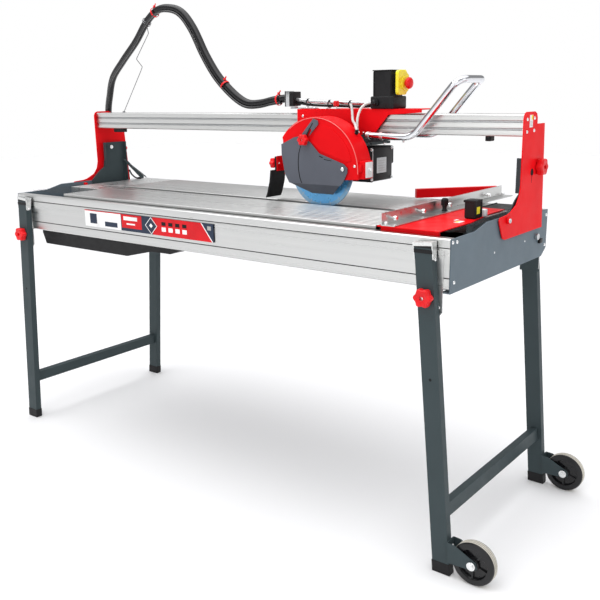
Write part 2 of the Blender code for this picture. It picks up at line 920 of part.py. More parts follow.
def guard_outline(inset):
    """The guard's side view; a positive inset gives the room inside it."""
    centre_x, centre_z, radius = 0.3176, 1.060, 0.168 - inset
    arc = []
    for i in range(15):
        angle = math.radians(-7 + i * 150 / 14)
        arc.append((centre_x + radius * math.cos(angle), centre_z + radius * math.sin(angle)))
    if inset:
        return [(0.100, 0.980), (centre_x + radius, 0.980), *arc, (0.100, arc[-1][1] - 0.012)]
    return [(0.190, 1.042), (0.430, 1.034), (arc[0][0] - 0.002, 1.036), *arc, (0.186, 1.150)]


def blade_guard(group, material):
    shell = prism(guard_outline(0), "Y", -0.0500, 0.0220)
    room = prism(guard_outline(0.003), "Y", -0.0470, 0.0190)
    lug = rounded_box(0.462, 0.500, -0.040, 0.010, 1.038, 1.094, 0.003, 1)
    strap = box(0.1265, 0.215, 0.0190, 0.0220, 1.046, 1.096)
    fold = box(0.1265, 0.1295, -0.0140, 0.0215, 1.046, 1.096)
    bore = rod("Y", (BLADE_X, BLADE_Z), 0.0290, 0.010, 0.030, 20)
    bolt = turned(
        [(0, -0.0480), (0.0045, -0.0480), (0.0045, -0.0585), (0.0080, -0.0585)]
        + [(0.0080, -0.0625), (0, -0.0625)],
        "Y",
        (COVER_X, COVER_Z),
        12,
    )
    post = box(0.230, 0.270, 0.0200, 0.0320, 1.100, 1.1335)
    slot = rod("X", (-0.006, 1.072), 0.0042, 0.115, 0.140, 12)
    piece("blade_guard", material, group, [shell, lug, strap, fold, bolt, post], [room, bore, slot])


def side_cover(group, material):
    """Flat cover in front of the guard, its lower edge folded in towards the blade."""
    outline = [
        (0.183, 1.139),
        (0.238, 1.163),
        (0.262, 1.166),
        (0.315, 1.222),
        (0.333, 1.216),
        (0.335, 1.205),
        (0.288, 1.158),
        (0.306, 1.144),
        (0.337, 1.114),
        (0.432, 1.084),
        (0.446, 1.072),
        (0.446, 1.058),
        (0.429, 1.026),
        (0.418, 1.015),
        (0.214, 1.015),
        (0.196, 1.044),
        (0.184, 1.104),
    ]
    flat = prism(outline, "Y", -0.0558, -0.0534)
    fold = bmesh.new()
    rows = []
    for x0, x1, y, z in ((0.2145, 0.4175, -0.0558, 1.0165), (0.281, 0.365, -0.0190, 0.981)):
        rows.append([fold.verts.new((x0, y, z)), fold.verts.new((x1, y, z))])
        rows.append([fold.verts.new((x0, y + 0.0024, z + 0.0008)), fold.verts.new((x1, y + 0.0024, z + 0.0008))])
    ring = [(rows[0], rows[1]), (rows[1], rows[3]), (rows[3], rows[2]), (rows[2], rows[0])]
    for one, two in ring:
        fold.faces.new((one[0], one[1], two[1], two[0]))
    fold.faces.new((rows[0][0], rows[1][0], rows[3][0], rows[2][0]))
    fold.faces.new((rows[0][1], rows[1][1], rows[3][1], rows[2][1]))
    hole = rod("Y", (COVER_X, COVER_Z), 0.0049, -0.07, -0.04, 12)
    slot_line = [(0.2753, 1.1532), (0.2853, 1.1472), (0.3092, 1.1871), (0.2992, 1.1931)]
    slot = prism(slot_line, "Y", -0.07, -0.04)
    piece("side_cover", material, group, [flat, finished(fold)], [hole, slot])


def cover_knob(group, material):
    centre = (0.2836, 1.1558)
    grip = lobed(0.0190, 0.004, 6, centre, "Y", -0.0780, -0.0600, 4)
    stem = rod("Y", centre, 0.0036, -0.0620, -0.0503, 12)
    piece("cover_knob", material, group, [grip, stem])


def splash_flap(group, material):
    outer = [(0.1190, 1.094), (0.1190, 1.045), (0.1140, 1.010), (0.1040, 0.975), (0.0960, 0.957)]
    inner = [(x + 0.0060, z) for x, z in reversed(outer)]
    sheet = prism(outer + inner, "Y", -0.040, 0.036)
    hole = rod("X", (-0.006, 1.072), 0.0042, 0.110, 0.130, 12)
    shoulder = box(0.090, 0.140, -0.050, -0.014, 1.050, 1.110)
    piece("splash_flap", material, group, [sheet], [hole, shoulder])


def flap_knob(group, material):
    centre = (-0.006, 1.072)
    grip = lobed(0.0185, 0.004, 6, centre, "X", 0.1000, 0.1180, 4)
    stud = rod("X", centre, 0.0038, 0.110, 0.136, 12)
    piece("flap_knob", material, group, [grip, stud])


def water_hose_route():
    return [
        (0.366, 0.0780, 1.2620),
        (0.378, 0.0660, 1.2600),
        (0.390, 0.0540, 1.2400),
        (0.400, 0.0420, 1.2170),
        (0.414, 0.0280, 1.2080),
        (0.430, 0.0120, 1.2020),
        (0.4470, -0.0040, 1.1850),
    ]


def water_hose(group, material):
    hose_tube("water_hose", material, group, smooth_line(water_hose_route(), 0.012), 0.0042)


# Leg pieces


def leg_matrix(side, flip):
    """From leg coordinates (x across, z up from the hinge) to the assembled place."""
    turn = Matrix.Rotation(-side * LEG_SPLAY, 4, "Y")
    place = Matrix.Translation(Vector((side * LEG_X, 0.0, LEG_Z)))
    if flip < 0:
        return place @ turn
    return place @ turn @ Matrix.Scale(-1, 4, Vector((0.0, 1.0, 0.0)))


def leg(group, material, name, side, flip):
    """Rectangular tube, cut level at the foot and drilled for its hinge."""
    half = LEG_WIDTH / 2
    wall = 0.002
    bottom = -LEG_Z / math.cos(LEG_SPLAY)
    slope = math.tan(LEG_SPLAY) * side
    foot = 0.0005
    outline = []
    for sign in (-1, 1):
        x = sign * half
        outline.append((x, bottom + foot - x * slope))
    outline += [(half, LEG_ABOVE), (-half, LEG_ABOVE)]
    tube = prism(outline, "Y", LEG_FRONT, LEG_REAR)
    bore = box(-half + wall, half - wall, LEG_FRONT + wall, LEG_REAR - wall, -1.0, 1.0)
    hole = rod("Y", (0.0, 0.0), 0.0056, LEG_FRONT - 0.01, LEG_REAR + 0.01, 12)
    matrix = leg_matrix(side, flip)
    shapes = [moved(bm, matrix) for bm in (tube, bore, hole)]
    piece(name, material, group, shapes[:1], shapes[1:])


def leg_crossbar(group, material, name, side):
    half = 0.020
    section = [(-0.0125, -0.611 - half), (0.0125, -0.611 - half)]
    section += [(0.0125, -0.611 + half), (-0.0125, -0.611 + half)]
    bar = prism(section, "Y", LEG_REAR + CLEAR, -LEG_REAR - CLEAR)
    inner = [(-0.0107, -0.611 - half + 0.0018), (0.0107, -0.611 - half + 0.0018)]
    inner += [(0.0107, -0.611 + half - 0.0018), (-0.0107, -0.611 + half - 0.0018)]
    bore = prism(inner, "Y", -0.35, 0.35)
    matrix = leg_matrix(side, -1)
    piece(name, material, group, [moved(bar, matrix)], [moved(bore, matrix)])


def leg_knob(group, material, name, side):
    centre = (side * LEG_X, LEG_Z)
    grip = lobed(0.0265, 0.005, 6, centre, "Y", -0.3720, -0.3485, 6)
    stud = rod("Y", centre, 0.0050, -0.3560, -0.3080, 12)
    piece(name, material, group, [grip, stud])


def leg_catch(group, material, name, side):
    """Strap across the leg's top on two arms."""
    half = LEG_WIDTH / 2
    top = box(-half - 0.003, half + 0.003, -0.3500, -0.3232, 0.1410, 0.1435)
    lip = box(-half - 0.003, half + 0.003, -0.3500, -0.3475, 0.1340, 0.1430)
    shapes = [top]
    for sign in (-1, 1):
        x0, x1 = sorted((sign * (half + 0.0005), sign * (half + 0.0028)))
        arm = prism(
            [(-0.3470, 0.098), (-0.3400, 0.096), (-0.3290, 0.100), (-0.3240, 0.142), (-0.3490, 0.142)],
            "X",
            x0,
            x1,
        )
        shapes.append(arm)
    matrix = leg_matrix(side, -1)
    shapes.append(lip)
    piece(name, material, group, [moved(bm, matrix) for bm in shapes])


def wheel_fork(group, material, name, flip):
    outline = [
        (0.9815, 0.106),
        (1.004, 0.105),
        (1.070, 0.074),
        (1.074, 0.058),
        (1.062, 0.049),
        (0.9890, 0.046),
    ]
    back = [(0.9805, 0.106), (0.9835, 0.106), (0.9895, 0.046), (0.9865, 0.046)]
    shapes = []
    for y0, y1 in ((0.3140, 0.3165), (0.3535, 0.3560)):
        shapes.append(prism(outline, "Y", *sorted((flip * y0, flip * y1))))
    shapes.append(prism(back, "Y", *sorted((flip * 0.3145, flip * 0.3555))))
    shapes.append(rod("Y", (WHEEL_X, WHEEL_RADIUS), 0.0060, flip * 0.3110, flip * 0.3590, 12))
    piece(name, material, group, [shapes[2], shapes[0], shapes[1], shapes[3]])


def wheel(group, material, name, flip):
    middle = flip * 0.335
    profile = [
        (0.0066, -0.0160),
        (0.0180, -0.0160),
        (0.0220, -0.0100),
        (0.0460, -0.0100),
        (0.0500, -0.0145),
        (0.0580, -0.0140),
        (WHEEL_RADIUS, -0.0080),
        (WHEEL_RADIUS, 0.0080),
        (0.0580, 0.0140),
        (0.0500, 0.0145),
        (0.0460, 0.0100),
        (0.0220, 0.0100),
        (0.0180, 0.0160),
        (0.0066, 0.0160),
    ]
    profile = [(r, middle + h) for r, h in profile]
    piece(name, material, group, [turned(profile, "Y", (WHEEL_X, WHEEL_RADIUS), 24, closed=True)])


def build_frame(paints):
    frame = Group("frame", (0, 0, 0))
    front_rail(frame, paints["aluminium"])
    rear_rail(frame, paints["aluminium"])
    for side in (-1, 1):
        side_plate(frame, paints["blue_grey"], side)
        cross_plate(frame, paints["zinc"], side)
        tower(frame, paints["dark_grey"], side)
    table(frame, paints["aluminium"], "front_table", -0.285, SLOT_FRONT, 12)
    table(frame, paints["aluminium"], "rear_table", SLOT_REAR, 0.295, 12)
    water_tray(frame, paints["black"])
    water_pump(frame, paints["black"])
    return frame


def build_gauge(frame, paints):
    slide = Group("gauge_slide", (GAUGE_X, GAUGE_Y, 0.9468), frame)
    gauge_base(slide, paints["red"])
    gauge_clamp_box(slide, paints["black"])
    turn = Group("gauge_turn", (GAUGE_X, GAUGE_Y, 0.9503), slide)
    gauge_fence(turn, paints["aluminium"])
    gauge_arm(turn, paints["red"])
    knob = Group("gauge_knob_axis", (GAUGE_X, GAUGE_Y, 0.9540), turn)
    gauge_knob(knob, paints["black"])


def build_bridge(frame, paints):
    bridge = Group("bridge_axis", (0, TILT_Y, TILT_Z), frame)
    for side in (-1, 1):
        upright(bridge, paints["red"], side)
        name = "tilt_knob_axis_right" if side > 0 else "tilt_knob_axis_left"
        knob = Group(name, (side * 0.967, 0.264, 1.072), bridge)
        tilt_knob(knob, paints["red"], side)
    beam(bridge, paints["aluminium"])
    travel_stop(bridge, paints["rubber"], "travel_stop_left", -0.8750, -0.8195)
    travel_stop(bridge, paints["rubber"], "travel_stop_right", 0.8230, 0.8410)
    hose_support_wire(bridge, paints["steel"])
    power_hose(bridge, paints["rubber"])
    return bridge


def build_carriage(bridge, paints):
    carriage = Group("carriage_slide", (BLADE_X, 0.130, BEAM_TOP), bridge)
    carriage_body(carriage, paints["red"])
    for name, x in (("guide_roller_left", 0.200), ("guide_roller_right", 0.320)):
        roller = Group(name + "_axis", (x, 0.1895, 1.205), carriage)
        guide_roller(roller, paints["black"], name, x)
    switch_box(carriage, paints["black"])
    hose_carrier(carriage, paints["steel"])
    cover = Group("switch_cover_axis", (0.5275, 0.125, 1.366), carriage)
    switch_cover(cover, paints["yellow"])
    button = Group("stop_button_axis", (0.5290, 0.130, 1.326), cover)
    stop_button(button, paints["red"])
    knob = Group("lock_knob_axis", (0.300, 0.0930, 1.256), carriage)
    lock_knob(knob, paints["red"])
    water_hose(carriage, paints["pale"])
    return carriage


def build_head(carriage, paints):
    head = Group("head_axis", (HEAD_X, 0.150, HEAD_Z), carriage)
    head_arm(head, paints["dark_grey"])
    handle(head, paints["chrome"])
    motor_housing(head, paints["black"])
    blade_guard(head, paints["red"])
    splash_flap(head, paints["rubber"])
    spindle = Group("blade_axis", (BLADE_X, BLADE_Y, BLADE_Z), head)
    motor_rotor(spindle, paints["steel"])
    blade(spindle, paints["blue"])
    blade_flange(spindle, paints["steel"])
    cover = Group("side_cover_axis", (COVER_X, -0.0546, COVER_Z), head)
    side_cover(cover, paints["cover_grey"])
    knob = Group("cover_knob_axis", (0.2836, -0.060, 1.1558), head)
    cover_knob(knob, paints["red"])
    knob = Group("flap_knob_axis", (0.118, -0.006, 1.072), head)
    flap_knob(knob, paints["red"])


def build_legs(frame, paints):
    for side, word in ((-1, "left"), (1, "right")):
        pair = Group("leg_axis_" + word, (side * LEG_X, 0, LEG_Z), frame)
        leg(pair, paints["dark_grey"], "leg_front_" + word, side, -1)
        leg(pair, paints["dark_grey"], "leg_rear_" + word, side, 1)
        leg_crossbar(pair, paints["dark_grey"], "leg_crossbar_" + word, side)
        place = leg_matrix(side, -1) @ Vector((0.0, -0.3355, 0.105))
        catch = Group("leg_catch_axis_" + word, place, pair)
        leg_catch(catch, paints["zinc"], "leg_catch_" + word, side)
        knob = Group("leg_knob_axis_" + word, (side * LEG_X, -0.3485, LEG_Z), frame)
        leg_knob(knob, paints["red"], "leg_knob_" + word, side)
        if side < 0:
            continue
        for flip, end in ((-1, "front"), (1, "rear")):
            wheel_fork(pair, paints["dark_grey"], "wheel_fork_" + end, flip)
            axle = Group("wheel_axis_" + end, (WHEEL_X, flip * 0.335, WHEEL_RADIUS), pair)
            wheel(axle, paints["rubber"], "wheel_" + end, flip)


def main():
    clear_scene()
    paints = {
        "aluminium": paint("aluminium", (0.78, 0.78, 0.77), 0.38, 1.0),
        "zinc": paint("zinc", (0.80, 0.81, 0.80), 0.32, 1.0),
        "steel": paint("steel", (0.62, 0.63, 0.64), 0.25, 1.0),
        "chrome": paint("chrome", (0.88, 0.88, 0.90), 0.06, 1.0),
        "red": paint("signal_red", (0.75, 0.012, 0.018), 0.32),
        "blue_grey": paint("blue_grey", (0.155, 0.195, 0.230), 0.45),
        "dark_grey": paint("dark_grey", (0.065, 0.088, 0.092), 0.45),
        "cover_grey": paint("cover_grey", (0.125, 0.135, 0.155), 0.45),
        "black": paint("black_plastic", (0.015, 0.015, 0.016), 0.45),
        "rubber": paint("rubber", (0.020, 0.020, 0.020), 0.65),
        "yellow": paint("yellow", (0.93, 0.78, 0.05), 0.40),
        "blue": paint("blade_blue", (0.08, 0.42, 0.85), 0.35, 0.3),
        "pale": paint("pale_hose", (0.75, 0.76, 0.74), 0.40),
    }
    frame = build_frame(paints)
    build_gauge(frame, paints)
    bridge = build_bridge(frame, paints)
    carriage = build_carriage(bridge, paints)
    build_head(carriage, paints)
    build_legs(frame, paints)


main()
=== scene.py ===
"""Looks of the contractor's bridge tile saw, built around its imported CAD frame."""

import json
import math

import bmesh
import bpy
from mathutils import Matrix, Vector

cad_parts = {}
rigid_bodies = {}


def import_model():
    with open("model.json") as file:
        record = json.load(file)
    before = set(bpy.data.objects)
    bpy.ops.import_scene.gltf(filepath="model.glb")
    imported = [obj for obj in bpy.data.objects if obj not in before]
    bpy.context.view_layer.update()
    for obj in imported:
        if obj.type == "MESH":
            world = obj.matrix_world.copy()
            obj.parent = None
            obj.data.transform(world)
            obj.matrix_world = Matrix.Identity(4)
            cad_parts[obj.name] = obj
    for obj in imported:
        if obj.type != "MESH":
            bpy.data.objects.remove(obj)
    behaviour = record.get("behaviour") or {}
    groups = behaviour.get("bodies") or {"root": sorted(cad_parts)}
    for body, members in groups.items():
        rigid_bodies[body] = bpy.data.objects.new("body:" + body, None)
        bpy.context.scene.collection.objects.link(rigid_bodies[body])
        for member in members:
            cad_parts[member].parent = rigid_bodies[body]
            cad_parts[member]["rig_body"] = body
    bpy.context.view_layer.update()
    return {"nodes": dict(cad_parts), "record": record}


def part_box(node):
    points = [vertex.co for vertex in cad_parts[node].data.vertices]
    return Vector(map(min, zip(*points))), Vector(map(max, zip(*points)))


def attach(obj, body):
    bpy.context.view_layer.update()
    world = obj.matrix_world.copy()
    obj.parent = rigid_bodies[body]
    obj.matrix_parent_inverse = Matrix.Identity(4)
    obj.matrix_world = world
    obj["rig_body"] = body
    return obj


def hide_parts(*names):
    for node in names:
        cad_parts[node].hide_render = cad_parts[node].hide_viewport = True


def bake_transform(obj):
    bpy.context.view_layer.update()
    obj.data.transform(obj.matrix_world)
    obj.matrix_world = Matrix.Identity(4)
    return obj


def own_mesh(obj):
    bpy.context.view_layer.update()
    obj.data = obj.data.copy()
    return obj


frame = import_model()

# The design frame has X = 0 midway between the end plates, Y = 0 midway between the rails.
LEFT_LOW, LEFT_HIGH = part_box("side_plate_left")
RIGHT_LOW, RIGHT_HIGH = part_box("side_plate_right")
ORIGIN = Vector(((LEFT_LOW.x + RIGHT_HIGH.x) / 2, (LEFT_LOW.y + LEFT_HIGH.y) / 2, 0.0))
HALF_LENGTH = (RIGHT_HIGH.x - LEFT_LOW.x) / 2
RAIL_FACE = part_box("front_rail")[0].y - ORIGIN.y
NODE_BODY = {
    node: body
    for body, members in frame["record"]["behaviour"]["bodies"].items()
    for node in members
}
NODE_SLOT = {row["node"]: row["material_slot"] for row in frame["record"]["subparts"]}

LEFT = Vector((-1, 0, 0))
RIGHT = Vector((1, 0, 0))
FRONT = Vector((0, -1, 0))
BACK = Vector((0, 1, 0))
UP = Vector((0, 0, 1))

# Places and sizes, all in the design frame
BLADE_X, BLADE_Y, BLADE_Z = 0.3116, -0.006, 1.060
HEAD_HINGE = (0.158, 1.135)
HOSE_FOOT = (-0.975, 0.179)
ROLLER_X = {"guide_roller_left": 0.200, "guide_roller_right": 0.320}
ROLLER_Y = 0.1895
LEG_PIVOT_X, LEG_PIVOT_Z = 0.8946, 0.784
LEG_Y = 0.3355
LEG_SPLAY = math.radians(4.97)
LEG_HALF = 0.02545 / math.cos(LEG_SPLAY)
WHEEL_CENTRE = (1.057, 0.0625)
WHEEL_Y = 0.335
# A grip's profile: its share of the depth and its share of the radius, from the back to the dish
GRIP_STEPS = [
    (0.0, 0.84), (0.05, 0.93), (0.16, 0.985), (0.34, 1.0), (0.66, 1.0), (0.84, 0.985), (0.95, 0.93),
    (1.0, 0.84), (1.0, 0.62), (0.93, 0.52), (0.93, 0.34), (1.0, 0.30), (0.62, 0.27),
]


# Materials


class Nodes:
    """A node tree with short calls for the nodes that the finishes share."""

    def __init__(self, name, colour, roughness, metallic=0.0, **sockets):
        self.material = bpy.data.materials.new(name)
        self.material.use_nodes = True
        self.tree = self.material.node_tree
        self.shader = self.tree.nodes["Principled BSDF"]
        self.shader.inputs["Base Color"].default_value = (*colour, 1.0)
        self.shader.inputs["Roughness"].default_value = roughness
        self.shader.inputs["Metallic"].default_value = metallic
        for socket, value in sockets.items():
            self.shader.inputs[socket.replace("_", " ")].default_value = value
        self.place = self.add("ShaderNodeTexCoord").outputs["Object"]

    def add(self, kind, **values):
        node = self.tree.nodes.new(kind)
        for key, value in values.items():
            setattr(node, key, value)
        return node

    def link(self, output, socket):
        self.tree.links.new(output, socket)

    def stretched(self, scale):
        mapping = self.add("ShaderNodeMapping")
        mapping.inputs["Scale"].default_value = scale
        self.link(self.place, mapping.inputs["Vector"])
        return mapping.outputs["Vector"]

    def noise(self, scale, detail=3.0, stretch=(1, 1, 1), roughness=0.55):
        node = self.add("ShaderNodeTexNoise")
        node.inputs["Scale"].default_value = scale
        node.inputs["Detail"].default_value = detail
        node.inputs["Roughness"].default_value = roughness
        self.link(self.stretched(stretch), node.inputs["Vector"])
        return node.outputs["Fac"]

    def spread(self, value, low, high, start=0.3, end=0.7):
        node = self.add("ShaderNodeMapRange")
        node.inputs["From Min"].default_value = start
        node.inputs["From Max"].default_value = end
        node.inputs["To Min"].default_value = low
        node.inputs["To Max"].default_value = high
        self.link(value, node.inputs["Value"])
        return node.outputs["Result"]

    def mixed(self, factor, one, two):
        node = self.add("ShaderNodeMix", data_type="RGBA")
        self.link(factor, node.inputs["Factor"])
        for socket, value in (("A", one), ("B", two)):
            target = [s for s in node.inputs if s.name == socket and s.type == "RGBA"][0]
            if isinstance(value, tuple):
                target.default_value = (*value, 1.0)
            else:
                self.link(value, target)
        return [s for s in node.outputs if s.type == "RGBA"][0]

    def bump(self, height, distance, strength=1.0):
        node = self.add("ShaderNodeBump")
        node.inputs["Distance"].default_value = distance
        node.inputs["Strength"].default_value = strength
        self.link(height, node.inputs["Height"])
        self.link(node.outputs["Normal"], self.shader.inputs["Normal"])

    def colour(self, output):
        self.link(output, self.shader.inputs["Base Color"])

    def rough(self, output):
        self.link(output, self.shader.inputs["Roughness"])


def shade(colour, factor):
    return tuple(min(1.0, c * factor) for c in colour)


def powder_coat(name, colour, roughness, shine=0.14):
    """Sprayed paint: fine orange peel and faint cloudiness."""
    n = Nodes(name, colour, roughness, Specular_IOR_Level=shine)
    cloud = n.noise(7.0, 4.0)
    base = n.mixed(n.spread(cloud, 0.0, 1.0), shade(colour, 0.93), shade(colour, 1.05))
    n.colour(base)
    n.rough(n.spread(n.noise(24.0, 4.0), roughness - 0.05, roughness + 0.09))
    n.bump(n.noise(420.0, 2.0), 0.00022, 0.35)
    return n.material


def extruded(name, colour, roughness, stretch):
    """Anodised or drawn metal with long fine lines along the section."""
    n = Nodes(name, colour, roughness, 1.0)
    lines = n.noise(60.0, 5.0, stretch, 0.7)
    cloud = n.noise(3.0, 3.0)
    base = n.mixed(n.spread(lines, 0.0, 1.0), shade(colour, 0.95), shade(colour, 1.04))
    n.colour(n.mixed(n.spread(cloud, 0.0, 0.15), base, shade(colour, 0.90)))
    n.rough(n.spread(lines, roughness - 0.06, roughness + 0.10))
    n.bump(lines, 0.00025, 0.30)
    return n.material


def plated(name, colour, roughness, grain=180.0):
    """Zinc or bare steel: soft spangle and small scuffs."""
    n = Nodes(name, colour, roughness, 1.0)
    spangle = n.noise(grain, 4.0)
    n.colour(n.mixed(n.spread(spangle, 0.0, 1.0), shade(colour, 0.86), shade(colour, 1.06)))
    n.rough(n.spread(n.noise(45.0, 5.0), roughness - 0.06, roughness + 0.16))
    n.bump(spangle, 0.00015, 0.3)
    return n.material


def moulded(name, colour, roughness, grain=900.0, depth=0.00018, coat=0.0):
    """Moulded plastic or rubber with a fine even grain."""
    coated = {"Coat_Weight": coat, "Coat_Roughness": 0.12}
    n = Nodes(name, colour, roughness, Specular_IOR_Level=0.22, **coated)
    cloud = n.noise(16.0, 4.0)
    n.colour(n.mixed(n.spread(cloud, 0.0, 1.0), shade(colour, 0.85), shade(colour, 1.15)))
    n.rough(n.spread(n.noise(60.0, 4.0), roughness - 0.06, roughness + 0.10))
    n.bump(n.noise(grain, 2.0), depth, 0.4)
    return n.material


def polished(name, colour):
    """Chrome plate: near mirror with a faint waviness and dust."""
    n = Nodes(name, colour, 0.06, 1.0)
    n.rough(n.spread(n.noise(30.0, 5.0), 0.035, 0.13))
    n.bump(n.noise(35.0, 2.0), 0.00008, 0.2)
    return n.material


def disc_paint(name, colour):
    """Lacquered disc with fine rings about the spindle."""
    n = Nodes(name, colour, 0.30, 0.35, Coat_Weight=0.4, Coat_Roughness=0.10)
    wave = n.add("ShaderNodeTexWave", wave_type="RINGS", rings_direction="Y")
    wave.inputs["Scale"].default_value = 160.0
    wave.inputs["Distortion"].default_value = 0.6
    wave.inputs["Detail"].default_value = 2.0
    mapping = n.add("ShaderNodeMapping")
    mapping.inputs["Location"].default_value = -at(BLADE_X, BLADE_Y, BLADE_Z)
    n.link(n.place, mapping.inputs["Vector"])
    n.link(mapping.outputs["Vector"], wave.inputs["Vector"])
    rings = n.spread(wave.outputs["Fac"], 0.0, 1.0, 0.0, 1.0)
    n.colour(n.mixed(rings, shade(colour, 0.92), shade(colour, 1.06)))
    n.rough(n.spread(n.noise(50.0, 4.0), 0.22, 0.42))
    n.bump(wave.outputs["Fac"], 0.00006, 0.3)
    return n.material


def at(x, y, z):
    return Vector((x, y, z)) + ORIGIN


RED = (0.78, 0.006, 0.010)
FINISH = {
    "aluminium": extruded("anodised_aluminium", (0.64, 0.645, 0.635), 0.30, (0.004, 1, 1)),
    "zinc": plated("zinc_plate", (0.80, 0.81, 0.80), 0.30),
    "steel": plated("bare_steel", (0.60, 0.61, 0.62), 0.26, 320.0),
    "chrome": polished("chrome_plate", (0.74, 0.75, 0.78)),
    "red_paint": powder_coat("signal_red_paint", RED, 0.34, 0.05),
    "blue_grey_paint": powder_coat("blue_grey_paint", (0.125, 0.162, 0.190), 0.42),
    "dark_grey_paint": powder_coat("dark_grey_paint", (0.046, 0.063, 0.068), 0.42),
    "cover_grey_paint": powder_coat("cover_grey_paint", (0.112, 0.121, 0.146), 0.44),
    "black_paint": powder_coat("black_paint", (0.014, 0.014, 0.016), 0.34),
    "black_plastic": moulded("black_plastic", (0.010, 0.010, 0.011), 0.42),
    "red_plastic": moulded("red_plastic", (0.76, 0.008, 0.012), 0.32, coat=0.12),
    "yellow_plastic": moulded("yellow_plastic", (0.94, 0.76, 0.03), 0.32, coat=0.3),
    "pale_hose": moulded("pale_hose", (0.78, 0.79, 0.76), 0.30, coat=0.2),
    "rubber": moulded("rubber", (0.011, 0.011, 0.012), 0.50, 600.0, 0.0003),
    "blade_blue": disc_paint("blade_lacquer", (0.13, 0.48, 0.90)),
    "wheel_rubber": moulded("wheel_rubber", (0.010, 0.010, 0.011), 0.34, 500.0, 0.0001, 0.3),
}
# Finishes finer than the record's slots, each with the slot that it goes under
EXTRA = {
    "bolt": ("zinc", plated("bolt_zinc", (0.86, 0.87, 0.87), 0.20, 500.0)),
    "rim_steel": ("blade_blue", plated("sintered_rim", (0.30, 0.52, 0.74), 0.40, 700.0)),
    # Black for print and marks, and for the dark sheets painted as shade inside holes, slits and slots
    "dark": ("black_plastic", moulded("dark_recess", (0.006, 0.006, 0.007), 0.60)),
    "white_print": ("pale_hose", moulded("white_print", (0.86, 0.86, 0.86), 0.34, 700.0, 0.00004)),
    "navy_print": ("blue_grey_paint", moulded("navy_print", (0.022, 0.034, 0.062), 0.40, 700.0, 0.00004)),
    "red_print": ("red_plastic", moulded("red_print", (0.62, 0.006, 0.012), 0.40, 700.0, 0.00004)),
    "yellow_print": ("yellow_plastic", moulded("yellow_print", (0.93, 0.74, 0.04), 0.36, 700.0, 0.00004)),
    # Grey of the rating plate, also used for the shade painted in the beam's grooves
    "grey_plate": ("zinc", plated("grey_plate", (0.52, 0.53, 0.54), 0.42, 260.0)),
    "wire_steel": ("steel", plated("spring_wire", (0.24, 0.24, 0.25), 0.34, 300.0)),
    "groove_shade": ("black_plastic", moulded("groove_shade", (0.040, 0.041, 0.042), 0.60)),
    "hub_grey": ("black_plastic", moulded("hub_grey", (0.36, 0.36, 0.34), 0.42, 500.0, 0.0002)),
    # Pale pink for the highlight painted along the guard's rim
    "rim_highlight_pink": ("red_paint", moulded("rim_highlight_pink", (0.86, 0.20, 0.19), 0.30, 700.0, 0.00004)),
    "gloss_black": (
        "black_plastic", moulded("gloss_black", (0.007, 0.007, 0.008), 0.22, 600.0, 0.00005, 0.4)
    ),
    "cream": ("wheel_rubber", moulded("cream_tread", (0.56, 0.53, 0.46), 0.55, 500.0, 0.0003)),
    "hose_jacket": ("rubber", moulded("hose_jacket", (0.006, 0.006, 0.007), 0.28, 500.0, 0.00006, 0.25)),
    "feed_hose": ("rubber", moulded("feed_hose", (0.008, 0.008, 0.009), 0.16, 500.0, 0.00005, 0.8)),
    "water_tube": ("pale_hose", moulded("water_tube", (0.52, 0.53, 0.52), 0.22, 500.0, 0.0001, 0.5)),
}
FINISH.update({name: material for name, (slot, material) in EXTRA.items()})


# Shapes, all in the design frame


def prism(section, axis, start, end):
    """A section of (u, v) points, extruded along the axis."""
    bm = bmesh.new()
    rows = []
    for w in (start, end):
        rows.append([bm.verts.new(on_axis(axis, u, v, w)) for u, v in section])
    bm.faces.new(rows[0])
    bm.faces.new(rows[1])
    count = len(section)
    for i in range(count):
        j = (i + 1) % count
        bm.faces.new((rows[0][i], rows[0][j], rows[1][j], rows[1][i]))
    return bm


def on_axis(axis, u, v, w):
    if axis == "X":
        return Vector((w, u, v))
    if axis == "Y":
        return Vector((u, w, v))
    return Vector((u, v, w))


def slab(x0, x1, y0, y1, z0, z1):
    return prism([(x0, y0), (x1, y0), (x1, y1), (x0, y1)], "Z", z0, z1)


def soft_slab(x0, x1, y0, y1, z0, z1, radius, segments=3):
    bm = slab(x0, x1, y0, y1, z0, z1)
    edges = bm.edges[:]
    bmesh.ops.bevel(bm, geom=edges, offset=radius, segments=segments, profile=0.5, affect="EDGES")
    return bm


def turned(profile, axis, centre, segments=48):
    """A profile of (radius, height) points turned about the axis; a radius of 0 closes it."""
    bm = bmesh.new()
    rings = []
    for radius, height in profile:
        if radius == 0:
            rings.append([bm.verts.new(on_axis(axis, *centre, height))])
            continue
        ring = []
        for i in range(segments):
            angle = 2 * math.pi * i / segments
            u = centre[0] + radius * math.cos(angle)
            v = centre[1] + radius * math.sin(angle)
            ring.append(bm.verts.new(on_axis(axis, u, v, height)))
        rings.append(ring)
    pairs = list(zip(rings, rings[1:]))
    if profile[0][0] != 0 and profile[-1][0] != 0:
        pairs.append((rings[-1], rings[0]))
    for one, two in pairs:
        for i in range(segments):
            j = (i + 1) % segments
            if len(one) == 1:
                bm.faces.new((one[0], two[j], two[i]))
            elif len(two) == 1:
                bm.faces.new((one[i], one[j], two[0]))
            else:
                bm.faces.new((one[i], one[j], two[j], two[i]))
    return bm


def placed(bm, point, normal):
    """Turns a shape built about +Z to stand on the point along the normal."""
    turn = Vector((0, 0, 1)).rotation_difference(Vector(normal)).to_matrix().to_4x4()
    matrix = Matrix.Translation(Vector(point)) @ turn
    bmesh.ops.transform(bm, matrix=matrix, verts=bm.verts[:])
    return bm


def tube(axis, centre, inner, outer, start, end, segments=20):
    """A plain ring between two heights; an inner radius of 0 makes it a solid bar."""
    profile = [(inner, start), (outer, start), (outer, end), (inner, end)]
    return turned(profile, axis, centre, segments)


